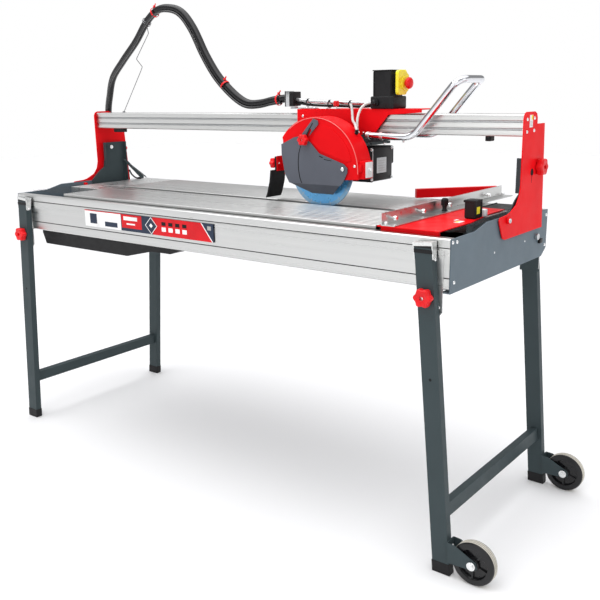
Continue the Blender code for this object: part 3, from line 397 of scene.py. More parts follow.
def even_disc(half, centre, middle, segments):
    """A disc about a Y axis whose two faces match; half is the profile of the one nearer the start."""
    profile = half + [(radius, -height) for radius, height in reversed(half)]
    return turned([(radius, middle + height) for radius, height in profile], "Y", centre, segments)


def standing(profile, point, normal, segments):
    """A turned shape that stands on the point along the normal."""
    return placed(turned(profile, "Z", (0, 0), segments), point, normal)


def band(point, along, radius, width, thick):
    """A ring of that inner radius round a bar."""
    ring = tube("Z", (0, 0), radius, radius + thick, -width / 2, width / 2, 28)
    return placed(ring, point, along)


def polar(centre, radius, degrees):
    angle = math.radians(degrees)
    return centre[0] + radius * math.cos(angle), centre[1] + radius * math.sin(angle)


def soft_slabs(rows, radius, segments=2):
    return [soft_slab(*row, radius, segments) for row in rows]


def hex_bolt(point, normal, size=0.0065):
    """Hexagon head with a chamfered crown, on a washer."""
    rim = size * 1.45
    washer = [(0, 0), (rim, 0), (size * 1.5, 0.0004), (rim, 0.0014), (0, 0.0014)]
    head = [(0, 0.001), (size, 0.001), (size, 0.0050), (size * 0.86, 0.0058), (0, 0.0058)]
    return [standing(washer, point, normal, 24), standing(head, point, normal, 6)]


def dome_bolt(point, normal, size=0.0060):
    """Button head with a hexagon socket."""
    profile = [(0, 0), (size, 0)]
    for i in range(1, 6):
        angle = math.radians(15 * i)
        profile.append((size * math.cos(angle) * 0.98, size * 0.55 * math.sin(angle)))
    profile += [(size * 0.30, size * 0.30), (0, size * 0.30)]
    return [standing(profile, point, normal, 18)]


def bolts(kind, points, normal, size):
    """One bolt of that kind on each point, all along the same normal."""
    return [shape for point in points for shape in kind(point, normal, size)]


def star_grip(axis, centre, start, end, radius, depth, lobes):
    """Grip with round lobes, rounded over at both faces and dished in front."""
    bm = bmesh.new()
    rings = []
    points = 10 * lobes
    for share, scale in GRIP_STEPS:
        ring = []
        for i in range(points):
            angle = 2 * math.pi * i / points
            if scale > 0.6:
                dent = depth * (0.5 - 0.5 * math.cos(lobes * angle))
                r = (radius - dent) * scale
            else:
                r = radius * scale - depth * 0.4
            u = centre[0] + r * math.cos(angle)
            v = centre[1] + r * math.sin(angle)
            ring.append(bm.verts.new(on_axis(axis, u, v, start + (end - start) * share)))
        rings.append(ring)
    bm.faces.new(rings[0])
    bm.faces.new(rings[-1])
    for one, two in zip(rings, rings[1:]):
        for i in range(points):
            j = (i + 1) % points
            bm.faces.new((one[i], one[j], two[j], two[i]))
    return bm


def smooth_line(route, spacing):
    """Points along a Catmull-Rom curve through the route."""
    points = [Vector(p) for p in route]
    ends = [2 * points[0] - points[1], *points, 2 * points[-1] - points[-2]]
    line = [points[0]]
    for a, b, c, d in zip(ends, ends[1:], ends[2:], ends[3:]):
        steps = max(1, round((c - b).length / spacing))
        for i in range(1, steps + 1):
            t = i / steps
            line.append(
                0.5
                * (
                    2 * b
                    + (c - a) * t
                    + (2 * a - 5 * b + 4 * c - d) * t * t
                    + (3 * b - a - 3 * c + d) * t * t * t
                )
            )
    return line


def bent_line(corners, radius, steps):
    """A line with each inner corner replaced by an arc-like bend."""
    points = [Vector(p) for p in corners]
    line = [points[0]]
    for before, corner, after in zip(points, points[1:], points[2:]):
        back = (before - corner).normalized() * radius
        ahead = (after - corner).normalized() * radius
        for i in range(steps + 1):
            t = i / steps
            line.append(corner + back * (1 - t) ** 2 + ahead * t**2)
    line.append(points[-1])
    return line


def swept(line, radii, sides=16):
    """A round bar along the line; radii is one radius or one for each point."""
    if not isinstance(radii, list):
        radii = [radii] * len(line)
    bm = bmesh.new()
    rows = []
    across = Vector((0.0, 1.0, 0.0))
    first = (line[1] - line[0]).normalized()
    if abs(first.y) > 0.9:
        across = Vector((1.0, 0.0, 0.0))
    for i, point in enumerate(line):
        along = (line[min(i + 1, len(line) - 1)] - line[max(i - 1, 0)]).normalized()
        across = (across - along * across.dot(along)).normalized()
        other = along.cross(across)
        row = []
        for k in range(sides):
            angle = 2 * math.pi * k / sides
            offset = across * math.cos(angle) + other * math.sin(angle)
            row.append(bm.verts.new(point + offset * radii[i]))
        rows.append(row)
    bm.faces.new(rows[0])
    bm.faces.new(rows[-1])
    for one, two in zip(rows, rows[1:]):
        for k in range(sides):
            j = (k + 1) % sides
            bm.faces.new((one[k], one[j], two[j], two[k]))
    return bm


# Pieces


def merged(shapes):
    whole = bmesh.new()
    for bm in shapes:
        bmesh.ops.recalc_face_normals(bm, faces=bm.faces[:])
        mesh = bpy.data.meshes.new("shape")
        bm.to_mesh(mesh)
        bm.free()
        whole.from_mesh(mesh)
        bpy.data.meshes.remove(mesh)
    return whole


def smooth(obj, angle):
    obj.data.shade_smooth()
    obj.data.set_sharp_from_angle(angle=math.radians(angle))


def soften(obj, width, segments=3, angle=35.0):
    """Rounds over every edge that turns by more than the angle."""
    modifier = obj.modifiers.new("soft_edges", "BEVEL")
    modifier.width = width
    modifier.segments = segments
    modifier.limit_method = "ANGLE"
    modifier.angle_limit = math.radians(angle)
    modifier.harden_normals = True


def piece(name, shapes, finish, body, replaced=(), angle=35.0):
    """One visible piece on a body, in a named finish."""
    bm = merged(shapes)
    bmesh.ops.transform(bm, matrix=Matrix.Translation(ORIGIN), verts=bm.verts[:])
    mesh = bpy.data.meshes.new(name)
    bm.to_mesh(mesh)
    bm.free()
    mesh.materials.append(FINISH[finish])
    obj = bpy.data.objects.new(name, mesh)
    bpy.context.scene.collection.objects.link(obj)
    smooth(obj, angle)
    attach(obj, body)
    if replaced:
        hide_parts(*replaced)
    return obj


def refined(node, bevel=0.0006, angle=32.0, segments=2):
    """The CAD node's own shape with its edges broken, in its finish."""
    mesh = frame["nodes"][node].data.copy()
    bm = bmesh.new()
    bm.from_mesh(mesh)
    bmesh.ops.remove_doubles(bm, verts=bm.verts[:], dist=1e-5)
    flat = math.radians(0.5)
    bmesh.ops.dissolve_limit(
        bm, angle_limit=flat, verts=bm.verts[:], edges=bm.edges[:], delimit={"NORMAL"}
    )
    bm.to_mesh(mesh)
    bm.free()
    mesh.materials.clear()
    mesh.materials.append(FINISH[NODE_SLOT[node]])
    obj = bpy.data.objects.new(node + "_skin", mesh)
    bpy.context.scene.collection.objects.link(obj)
    smooth(obj, angle)
    soften(obj, bevel, segments, angle)
    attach(obj, NODE_BODY[node])
    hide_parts(node)
    return obj


def bending(name, shapes, finish, pair, start, end, replaced=()):
    """A piece that crosses a joint between two bodies, built on the first and then left unparented where it
    stands.
    """
    obj = piece(name, shapes, finish, pair[0])
    world = obj.matrix_world.copy()
    obj.parent = None
    obj.matrix_world = world
    del obj["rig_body"]
    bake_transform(obj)
    if replaced:
        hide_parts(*replaced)
    return obj


# Camera, light and floor


def camera():
    """Stands where the picture was taken from, looking a little down along the saw."""
    yaw, pitch, roll = 0.66718, 0.25265, -0.01718
    ahead = Vector(
        (-math.sin(yaw) * math.cos(pitch), math.cos(yaw) * math.cos(pitch), -math.sin(pitch))
    )
    level = Vector((math.cos(yaw), math.sin(yaw), 0.0))
    upward = level.cross(ahead)
    right = math.cos(roll) * level + math.sin(roll) * upward
    up = -math.sin(roll) * level + math.cos(roll) * upward
    data = bpy.data.cameras.new("camera")
    data.lens = 48.29
    data.sensor_width = 36.0
    obj = bpy.data.objects.new("camera", data)
    turn = Matrix((right, up, -ahead)).transposed().to_4x4()
    obj.matrix_world = Matrix.Translation(at(1.88947, -2.13661, 1.30372)) @ turn
    bpy.context.scene.collection.objects.link(obj)
    bpy.context.scene.camera = obj


def softbox(name, place, target, width, height, power):
    data = bpy.data.lights.new(name, "AREA")
    data.shape = "RECTANGLE"
    data.size = width
    data.size_y = height
    data.energy = power
    obj = bpy.data.objects.new(name, data)
    obj.location = place
    obj.rotation_euler = (Vector(target) - Vector(place)).to_track_quat("-Z", "Y").to_euler()
    bpy.context.scene.collection.objects.link(obj)


def studio():
    """Pale floor, a bright horizon, and soft lights from above and the front."""
    scene = bpy.context.scene
    scene.view_settings.view_transform = "Standard"
    world = bpy.data.worlds.new("studio")
    world.use_nodes = True
    tree = world.node_tree
    backdrop = tree.nodes["Background"]
    place = tree.nodes.new("ShaderNodeTexCoord")
    parts = tree.nodes.new("ShaderNodeSeparateXYZ")
    ramp = tree.nodes.new("ShaderNodeValToRGB")
    tree.links.new(place.outputs["Generated"], parts.inputs["Vector"])
    tree.links.new(parts.outputs["Z"], ramp.inputs["Fac"])
    tree.links.new(ramp.outputs["Color"], backdrop.inputs["Color"])
    stops = ramp.color_ramp.elements
    stops[0].position = 0.0
    stops[0].color = (1.0, 1.0, 1.0, 1.0)
    stops[1].position = 0.12
    stops[1].color = (1.0, 1.0, 1.0, 1.0)
    for position, value in ((0.22, 0.34), (0.48, 0.30), (0.70, 1.35), (1.0, 1.80)):
        stop = stops.new(position)
        stop.color = (value, value, value * 1.02, 1.0)
    backdrop.inputs["Strength"].default_value = 1.0
    scene.world = world
    softbox("overhead", (-0.4, -0.6, 3.2), (-0.1, 0.0, 0.6), 3.4, 2.2, 40.0)
    softbox("front", (0.4, -3.4, 2.1), (0.0, 0.0, 0.8), 2.6, 1.6, 16.0)
    softbox("right", (3.3, -0.4, 1.8), (0.3, 0.0, 0.8), 1.4, 1.8, 5.0)
    bm = bmesh.new()
    bmesh.ops.create_grid(bm, x_segments=1, y_segments=1, size=14.0)
    mesh = bpy.data.meshes.new("floor")
    bm.to_mesh(mesh)
    bm.free()
    floor = bpy.data.objects.new("floor", mesh)
    n = Nodes("floor_paper", (0.93, 0.93, 0.93), 0.75)
    n.rough(n.spread(n.noise(2.0, 2.0), 0.70, 0.80))
    mesh.materials.append(n.material)
    scene.collection.objects.link(floor)


# Hoses and leads


HOSE_ROUTE = [
    (*HOSE_FOOT, 1.060),
    (*HOSE_FOOT, 1.150),
    (*HOSE_FOOT, 1.235),
    (-0.950, 0.172, 1.300),
    (-0.905, 0.160, 1.375),
    (-0.820, 0.148, 1.440),
    (-0.722, 0.140, 1.512),
    (-0.645, 0.134, 1.582),
    (-0.575, 0.130, 1.620),
    (-0.505, 0.128, 1.624),
    (-0.437, 0.126, 1.603),
    (-0.377, 0.124, 1.543),
    (-0.318, 0.122, 1.448),
    (-0.262, 0.120, 1.375),
    (-0.207, 0.118, 1.325),
    (-0.150, 0.116, 1.286),
    (-0.100, 0.114, 1.267),
    (-0.040, 0.112, 1.268),
    (0.020, 0.110, 1.278),
    (0.083, 0.110, 1.2845),
]
WATER_ROUTE = [
    (0.366, 0.0780, 1.2620),
    (0.378, 0.0660, 1.2600),
    (0.390, 0.0540, 1.2400),
    (0.400, 0.0420, 1.2170),
    (0.414, 0.0280, 1.2080),
    (0.430, 0.0120, 1.2020),
    (0.4470, -0.0040, 1.1850),
]
LEAD_ROUTE = [
    (0.4360, 0.1000, 1.2660),
    (0.4240, 0.0830, 1.2640),
    (0.4130, 0.0680, 1.2480),
    (0.4080, 0.0580, 1.2200),
    (0.4120, 0.0500, 1.1900),
    (0.4160, 0.0520, 1.1600),
    (0.4140, 0.0560, 1.1440),
]
CLIPPED_ROUTE = [
    (0.119, 0.111, 1.2690),
    (0.160, 0.111, 1.2640),
    (0.205, 0.111, 1.2598),
    (0.300, 0.111, 1.2572),
    (0.380, 0.111, 1.2552),
    (0.420, 0.109, 1.2560),
    (0.446, 0.102, 1.2610),
]
TOWER_LEAD_ROUTE = [
    (-0.915, 0.222, 0.985),
    (-0.905, 0.226, 0.965),
    (-0.890, 0.236, 0.950),
    (-0.872, 0.250, 0.9480),
]
HOSE_RADIUS = 0.014
FEED_RADIUS = 0.0045
LEAD_RADIUS = 0.0042
HOSE_JOIN = (("bridge", "carriage"), (-0.600, 0.131, 1.610), (0.050, 0.110, 1.281))


def nearest(line, x):
    """The point of the line whose X is nearest, and the direction there."""
    index = min(range(1, len(line) - 1), key=lambda i: abs(line[i].x - x))
    return line[index], (line[index + 1] - line[index - 1]).normalized()


def frontward(along):
    """The level direction across a line that points to the front."""
    side = along.cross(UP).normalized()
    return -side if side.y > 0 else side


def power_hose():
    line = smooth_line(HOSE_ROUTE, 0.008)
    sheath = [swept(line, HOSE_RADIUS, 28)]
    hose = bending("power_hose_sheath", sheath, "hose_jacket", *HOSE_JOIN, ["power_hose"])
    beside = []
    for before, point, after in zip(line[5:], line[6:-2], line[7:]):
        along = (after - before).normalized()
        side = frontward(along)
        below = along.cross(side)
        if below.z > 0:
            below = -below
        beside.append(point + (side * 0.72 + below * 0.69) * (HOSE_RADIUS + 0.0046))
    feed = bending("water_feed_hose", [swept(beside[::2], FEED_RADIUS, 14)], "feed_hose", *HOSE_JOIN)
    shapes = []
    for x in (-0.590, -0.222, 0.040):
        point, along = nearest(line, x)
        middle = point + frontward(along) * 0.003 - UP * 0.002
        shapes.append(band(middle, along, HOSE_RADIUS + 0.0036, 0.0060, 0.0016))
        head = soft_slab(-0.004, 0.004, -0.004, 0.004, 0.0, 0.008, 0.001, 1)
        shapes.append(placed(head, middle + UP * (HOSE_RADIUS + 0.0040), UP))
        tail = soft_slab(-0.0024, 0.0024, -0.0009, 0.0009, 0.0, 0.016, 0.0004, 1)
        shapes.append(placed(tail, middle + UP * (HOSE_RADIUS + 0.0080), (0.75, -0.25, 0.6)))
    ties = bending("hose_ties", shapes, "red_plastic", *HOSE_JOIN)


def small_hoses():
    """The water hose to the guard, and the motor's pale lead beside it."""
    join = (("carriage", "head"), (0.405, 0.0400, 1.2300), (0.440, 0.0100, 1.1900))
    lead_join = (("carriage", "head"), (0.411, 0.060, 1.230), (0.415, 0.052, 1.165))
    for name, finish, route, where in (
        ("water_hose_tube", "water_tube", WATER_ROUTE, (*join, ["water_hose"])),
        ("motor_lead", "pale_hose", LEAD_ROUTE, lead_join),
    ):
        line = smooth_line(route, 0.003)
        hose = bending(name, [swept(line, LEAD_RADIUS, 16)], finish, *where)


def clipped_lead():
    """Black lead held along the steel tube by ring clips, into the switch box."""
    shapes = [swept(smooth_line(CLIPPED_ROUTE, 0.005), LEAD_RADIUS, 14)]
    gland = [(0, 0), (0.0088, 0), (0.0088, 0.005), (0.0070, 0.006), (0.0062, 0.014), (0, 0.014)]
    shapes.append(standing(gland, (0.4415, 0.1000, 1.2620), (-1, -0.25, 0), 18))
    pipe = bent_line([(0.118, 0.111, 1.279), (0.200, 0.111, 1.2715), (0.438, 0.111, 1.2645)], 0.03, 3)
    for x in (0.172, 0.262, 0.345):
        point, along = nearest(smooth_line(pipe, 0.004), x)
        shapes.append(band(point - UP * 0.0052, along, 0.0118, 0.004, 0.0014))
    piece("clipped_lead", shapes, "rubber", "carriage")
    block = [soft_slab(0.092, 0.122, 0.088, 0.134, 1.258, 1.306, 0.003, 3)]
    piece("hose_clamp_block", block, "black_plastic", "carriage")
    steel = [swept(smooth_line(pipe, 0.006), 0.0065, 20)]
    rows = [
        (0.100, 0.205, 0.100, 0.122, 1.2484, 1.2520),
        (0.100, 0.118, 0.101, 0.121, 1.2500, 1.262),
        (0.0864, 0.0920, 0.0866, 0.1340, 1.256, 1.308),
    ]
    steel += soft_slabs(rows, 0.0008)
    steel.append(soft_slab(0.0864, 0.1060, 0.0866, 0.0884, 1.256, 1.308, 0.0006, 2))
    steel += dome_bolt((0.190, 0.111, 1.2520), UP, 0.0050)
    piece("hose_carrier_skin", steel, "steel", "carriage", ["hose_carrier"])
    ring = [band(HOSE_ROUTE[-1], RIGHT, 0.0145, 0.006, 0.003)]
    ring += bolts(dome_bolt, [(0.112, 0.0880, z) for z in (1.266, 1.298)], FRONT, 0.0030)
    piece("hose_end_collar", ring, "black_plastic", "carriage")


def support_wire():
    """Zigzag spring wire from the beam, ending in coils round the hose."""
    foot_point = (-0.850, 0.160, 1.2335)
    corners = [
        (-0.850, 0.160, 1.2345),
        (-0.716, 0.160, 1.4140),
        (-0.750, 0.160, 1.4460),
        (-0.632, 0.128, 1.5380),
    ]
    line = smooth_line(bent_line(corners, 0.006, 4), 0.02)
    centre = Vector(HOSE_ROUTE[7])
    along = Vector((0.68, -0.05, 0.73)).normalized()
    one = (Vector((0.0, 1.0, 0.0)) - along * along.y).normalized()
    two = along.cross(one)
    for i in range(64):
        angle = math.radians(250 + 12 * i)
        rise = -0.008 + 0.016 * i / 63
        ring = one * math.cos(angle) + two * math.sin(angle)
        line.append(centre + ring * 0.0172 + along * rise)
    foot = [(0, 0), (0.006, 0), (0.006, 0.003), (0.003, 0.006), (0, 0.006)]
    shapes = [swept(line, 0.0015, 10), standing(foot, foot_point, UP, 16)]
    piece("hose_support_wire_skin", shapes, "wire_steel", "bridge", ["hose_support_wire"])


# Head, carriage and blade


def guard_arc(inset, first=-7, last=143, steps=36):
    """Points along the guard's rim in X and Z, that far inside it."""
    turns = [first + (last - first) * i / steps for i in range(steps + 1)]
    return [polar((0.3176, BLADE_Z), 0.168 - inset, turn) for turn in turns]


def guard():
    outline = [(0.190, 1.042), (0.430, 1.034), (0.4824, 1.036), *guard_arc(0), (0.186, 1.150)]
    shapes = [prism(outline, "Y", y, y + 0.0030) for y in (-0.0500, 0.0190)]
    shapes.append(prism(guard_arc(0) + guard_arc(0.003)[::-1], "Y", -0.0490, 0.0210))
    shapes.append(slab(0.4805, 0.4835, -0.0490, 0.0210, 1.0370, 1.0420))
    soften(piece("blade_guard_skin", shapes, "red_paint", "head", ["blade_guard"]), 0.0010)
    panel = [(0.300, 1.150), (0.345, 1.118), (0.440, 1.090), *guard_arc(0.022, 14, 80, 16)]
    soften(piece("guard_panel", [prism(panel, "Y", -0.0520, -0.0498)], "red_paint", "head"), 0.0016)
    # A pale pink line painted along the guard's outer rim as its highlight
    rim = [Vector((u, -0.0502, v)) for u, v in guard_arc(0.0035, -2, 128, 40)]
    piece("guard_rim_highlight", [swept(rim, 0.0013, 8)], "rim_highlight_pink", "head")
    fittings = [
        soft_slab(0.462, 0.500, -0.040, 0.010, 1.038, 1.094, 0.003, 3),
        slab(0.1265, 0.215, 0.0190, 0.0220, 1.046, 1.096),
        slab(0.1265, 0.1295, -0.0140, 0.0215, 1.046, 1.096),
        soft_slab(0.230, 0.270, 0.0200, 0.0320, 1.100, 1.1335, 0.001, 2),
        soft_slab(0.474, 0.494, -0.0485, -0.038, 1.060, 1.084, 0.002, 2),
    ]
    piece("guard_fittings", fittings, "red_paint", "head")
    facing = [soft_slab(0.4990, 0.5022, -0.034, 0.004, 1.042, 1.090, 0.001, 2)]
    piece("lug_facing", facing, "white_print", "head")
    stem = [
        (0, -0.0480), (0.0045, -0.0480), (0.0045, -0.0585), (0.0062, -0.0585), (0.0064, -0.0600),
        (0.0044, -0.0615), (0.0020, -0.0615), (0.0016, -0.0608), (0, -0.0608),
    ]
    screws = [turned(stem, "Y", (0.430, 1.068), 24)]
    screws += dome_bolt((0.470, -0.0502, 1.078), FRONT, 0.0048)
    screws += hex_bolt((0.5022, -0.015, 1.066), RIGHT, 0.0050)
    screws += dome_bolt((0.128, 0.010, 1.086), LEFT, 0.0040)
    piece("guard_screws", screws, "bolt", "head")
    nipple = [(0, 0), (0.0062, 0), (0.0062, 0.004), (0.0036, 0.005), (0.0036, 0.013), (0, 0.013)]
    end = Vector(WATER_ROUTE[-1])
    base = end + Vector((-0.0035, 0.004, -0.0095))
    spout = [standing(nipple, base, end - base, 18), band(end, end - base, LEAD_RADIUS, 0.004, 0.0012)]
    piece("water_nipple", spout, "black_plastic", "head")


def cover_details():
    """The dark lines and marks on the grey side cover; the slit and the arm's slot are dark strips painted
    as the shade inside those openings.
    """
    refined("side_cover", 0.0004)
    # The slit: a dark strip painted as the shade inside it
    line = [
        (0.2640, 1.1360), (0.2560, 1.1120), (0.2530, 1.0850), (0.2540, 1.0580), (0.2590, 1.0330),
        (0.2660, 1.0170),
    ]
    half = 0.0016
    strip = [(u + half, v) for u, v in line] + [(u - half, v) for u, v in line[::-1]]
    marks = []
    for u0, u1, v, h in ((0.338, 0.352, 1.1040, 0.0030), (0.356, 0.386, 1.0950, 0.0022)):
        marks.append([(u0, v), (u1, v - 0.004), (u1, v - 0.004 + h), (u0, v + h)])
    # The arm's slot: a dark line painted as the shade inside it
    slit = [(0.2800, 1.1600), (0.2826, 1.1584), (0.3150, 1.2080), (0.3124, 1.2096)]
    for name, outlines in (("cover_slit", [strip]), ("cover_marks", marks), ("arm_slot_line", [slit])):
        shapes = [prism(outline, "Y", -0.0561, -0.0557) for outline in outlines]
        piece(name, shapes, "dark", "side_cover")


def blade_disc():
    centre = (BLADE_X, BLADE_Z)
    steel = tube("Y", centre, 0.0127, 0.1130, BLADE_Y - 0.0010, BLADE_Y + 0.0010, 128)
    piece("blade_disc", [steel], "blade_blue", "spindle", ["blade"])
    rim = [(0.1120, -0.0013), (0.1246, -0.0013), (0.1250, -0.0009)]
    piece("blade_rim", [even_disc(rim, centre, BLADE_Y, 128)], "rim_steel", "spindle")
    notches = []
    for i in range(18):
        angle = math.radians(20 * i + 7)
        out = Vector((math.cos(angle), 0, math.sin(angle)))
        across = Vector((-out.z, 0, out.x)) * 0.0007
        low = Vector((BLADE_X, 0, BLADE_Z)) + out * 0.1065
        high = Vector((BLADE_X, 0, BLADE_Z)) + out * 0.1249
        corners = [low - across, high - across, high + across, low + across]
        notches.append(prism([(c.x, c.z) for c in corners], "Y", BLADE_Y - 0.00145, BLADE_Y + 0.00145))
    piece("blade_slots", notches, "steel", "spindle")
    flange = [
        (0.009, -0.0078), (0.0280, -0.0078), (0.0280, -0.0096), (0.0268, -0.0104), (0.0200, -0.0140),
        (0.009, -0.0140),
    ]
    nut = [(0.009, -0.0138), (0.0150, -0.0138), (0.0150, -0.0215), (0.0135, -0.0230), (0.009, -0.0230)]
    shapes = [turned(flange, "Y", centre, 64), turned(nut, "Y", centre, 6)]
    piece("blade_flange_skin", shapes, "steel", "spindle", ["blade_flange"])


def motor():
    refined("motor_housing", 0.0025, 40, 3)
    for name, finish, *edges in (
        ("motor_seam", "black_paint", 0.2040, 0.4512, 0.0780, 0.0830, 1.0150, 1.1292, 0.0010, 2),
        ("motor_trim", "steel", 0.4508, 0.4528, 0.0790, 0.0825, 1.0200, 1.1240, 0.0008, 2),
        ("rating_plate", "grey_plate", 0.4498, 0.4508, 0.108, 0.166, 1.042, 1.092, 0.0004, 1),
    ):
        piece(name, [soft_slab(*edges)], finish, "head")
    rows = []
    for i in range(5):
        z = 1.0495 + 0.008 * i
        rows.append(slab(0.4507, 0.4511, 0.114, 0.160 - 0.006 * (i % 2), z, z + 0.0014))
    piece("rating_plate_rows", rows, "hub_grey", "head")
    heights = [1.070 + 0.009 * i for i in range(6)]
    places = [0.096 + 0.014 * i for i in range(7)]
    ribs = [(0.2300, 0.4380, 0.2210, 0.2235, z, z + 0.0035) for z in heights]
    ribs += [(0.2030, 0.2055, y, y + 0.005, 1.032, 1.110) for y in places]
    piece("motor_ribs", soft_slabs(ribs, 0.0008, 1), "black_paint", "head")
    points = [(0.4500, y, z) for y in (0.075, 0.198) for z in (1.024, 1.120)]
    piece("motor_screws", bolts(hex_bolt, points, RIGHT, 0.0034), "bolt", "head")


def head_fittings():
    points = [(0.3800, 0.0745, 1.1450), (0.4600, 0.0745, 1.1600), (0.5050, 0.0745, 1.1640)]
    shapes = bolts(hex_bolt, points, FRONT, 0.0045)
    shapes += bolts(hex_bolt, [(0.5005, y, 1.1440) for y in (0.0750, 0.1920)], (0, 0, -1), 0.0040)
    x, z = HEAD_HINGE
    shapes += hex_bolt((x, 0.0800, z), FRONT, 0.0072)
    shapes += hex_bolt((x, 0.2210, z), BACK, 0.0072)
    piece("head_bolts", shapes, "bolt", "head")


def grip_bar():
    """The chrome loop, drawn to its middle and mirrored from there, and its clamps."""
    corners = [(0.440, 0.0620, 1.1660), (0.608, 0.0620, 1.1630), (0.757, 0.0620, 1.3330)]
    bend = [
        (0.736, 0.0620, 1.3090), (0.748, 0.0634, 1.3200), (0.758, 0.0670, 1.3276),
        (0.766, 0.0740, 1.3318), (0.7705, 0.0850, 1.3332), (0.771, 0.1000, 1.3335),
    ]
    half = bent_line(corners, 0.034, 12)[:-1] + [Vector(point) for point in bend]
    mirrored = [Vector((p.x, 0.2690 - p.y, p.z)) for p in reversed(half)]
    line = smooth_line(half + mirrored, 0.005)
    radii = [0.0100] + [0.0110] * (len(line) - 2) + [0.0100]
    piece("handle_bar", [swept(line, radii, 28)], "chrome", "head", ["handle"])
    plates = []
    for y in (0.0620, 0.2070):
        for x, z in ((0.4480, 1.1659), (0.4980, 1.1650)):
            plates.append(band((x, y, z), RIGHT, 0.0111, 0.010, 0.0016))
    piece("handle_clamps", plates, "zinc", "head")


def knobs():
    """All the grips that a hand turns, with their metal inserts and studs."""
    for node, axis, centre, start, end, radius, depth, stud_end in (
        ("leg_knob_left", "Y", (-LEG_PIVOT_X, LEG_PIVOT_Z), -0.3485, -0.3720, 0.0265, 0.0048, -0.3080),
        ("leg_knob_right", "Y", (LEG_PIVOT_X, LEG_PIVOT_Z), -0.3485, -0.3720, 0.0265, 0.0048, -0.3080),
        ("cover_knob", "Y", (0.2836, 1.1558), -0.0600, -0.0780, 0.0190, 0.0038, -0.0503),
        ("flap_knob", "X", (-0.006, 1.072), 0.1180, 0.1000, 0.0185, 0.0038, 0.136),
        ("lock_knob", "Z", (0.300, 0.0930), 1.2560, 1.2740, 0.0105, 0.0018, 1.2486),
        ("tilt_knob_left", "X", (0.232, 1.077), -0.9580, -0.9790, 0.0265, 0.0048, -0.9455),
        ("tilt_knob_right", "X", (0.205, 1.077), 0.9580, 0.9790, 0.0265, 0.0048, 0.9455),
    ):
        grip = star_grip(axis, centre, start, end, radius, depth, 6)
        body = NODE_BODY[node]
        piece(node + "_grip", [grip], "red_plastic", body, [node], angle=50)
        tip = start + (end - start) * 0.62
        top = tip + (0.0016 if end > start else -0.0016)
        insert = [(0, tip), (radius * 0.22, tip), (radius * 0.20, top), (0, top)]
        thick = 0.0038 if node.startswith("tilt") else min(0.0050, radius * 0.24)
        stud = tube(axis, centre, 0, thick, stud_end, start + (end - start) * 0.3)
        piece(node + "_stud", [turned(insert, axis, centre, 20), stud], "bolt", body)


def switch():
    refined("switch_box", 0.0010, segments=3)
    ribs = [(x, x + 0.0030, 0.0825, 0.086, 1.286, 1.362) for x in (0.4505, 0.5120)]
    lid = soft_slab(0.4480, 0.5180, 0.0820, 0.158, 1.3640, 1.3672, 0.0012, 2)
    piece("switch_box_ribs", [*soft_slabs(ribs, 0.0008), lid], "black_plastic", "carriage")
    gland = [
        (0, 0), (0.0125, 0), (0.0125, 0.004), (0.0095, 0.005), (0.0090, 0.012), (0.0052, 0.016), (0, 0.016),
    ]
    glands = [standing(gland, (0.4640, 0.0805, 1.2680), (-0.35, -1, 0), 24)]
    glands.append(soft_slab(0.4960, 0.5220, 0.0790, 0.0812, 1.254, 1.284, 0.0010, 2))
    piece("switch_glands", glands, "black_plastic", "carriage")
    outline = []
    for i in range(48):
        angle = math.radians(7.5 * i)
        u, v = math.cos(angle), math.sin(angle)
        wide = 1.0 + 0.045 * math.cos(10 * angle)
        if u < 0.35:
            wide = min(1.30, 1.0 / max(abs(u), abs(v)))
        outline.append((0.1250 + 0.0345 * wide * u, 1.328 + 0.0375 * wide * v))
    plate = [prism(outline, "X", 0.5278, 0.5385)]
    soften(piece("switch_cover_plate", plate, "yellow_plastic", "switch_cover", ["switch_cover"]), 0.0012)
    button = (0.130, 1.326)
    seat = [(0.0085, 0.5380), (0.0225, 0.5380), (0.0220, 0.5405), (0.0205, 0.5415), (0.0085, 0.5415)]
    collar = [turned(seat, "X", button), tube("Y", (0.5300, 1.3640), 0, 0.0030, 0.112, 0.146, 16)]
    piece("switch_cover_collar", collar, "yellow_plastic", "switch_cover")
    cap = [
        (0, 0.5332), (0.0078, 0.5332), (0.0078, 0.5462), (0.0150, 0.5480), (0.0176, 0.5505),
        (0.0182, 0.5540), (0.0172, 0.5580), (0.0140, 0.5612), (0.0080, 0.5632), (0, 0.5636),
    ]
    shapes = [turned(cap, "X", button)]
    piece("stop_button_cap", shapes, "red_plastic", "stop_button", ["stop_button"], angle=50)


def rollers():
    for node, x in ROLLER_X.items():
        low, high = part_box(node)
        profile = [(0.0042, low.z), (0.0130, low.z), (0.0165, low.z + 0.0030), (0.0165, high.z - 0.0030)]
        profile += [(0.0130, high.z), (0.0042, high.z)]
        shapes = [turned(profile, "Z", (x, ROLLER_Y), 40)]
        for i in range(5):
            stud = polar((x, ROLLER_Y), 0.0092, 72 * i)
            shapes.append(tube("Z", stud, 0, 0.0018, low.z - 0.0006, low.z + 0.001, 12))
        piece(node + "_wheel", shapes, "black_plastic", NODE_BODY[node], [node])


def carriage_fittings():
    shapes = dome_bolt((0.165, 0.0860, 1.2250), FRONT, 0.0050)
    shapes += bolts(hex_bolt, [(x, ROLLER_Y, 1.2480) for x in ROLLER_X.values()], UP, 0.0055)
    points = [(0.170, 0.104, 1.2522), (0.205, 0.100, 1.2522), (0.245, 0.104, 1.2480)]
    shapes += bolts(dome_bolt, points, UP, 0.0055)
    shapes += bolts(dome_bolt, [(x, 0.0860, 1.1730) for x in (0.3950, 0.4120)], FRONT, 0.0034)
    piece("carriage_screws", shapes, "bolt", "carriage")
    rows = [(x, x + 0.030, 0.098, 0.118, 1.2480, 1.2500) for x in (0.225, 0.270)]
    piece("carriage_washers", soft_slabs(rows, 0.0006, 1), "zinc", "carriage")


# Frame, bridge, gauge and legs


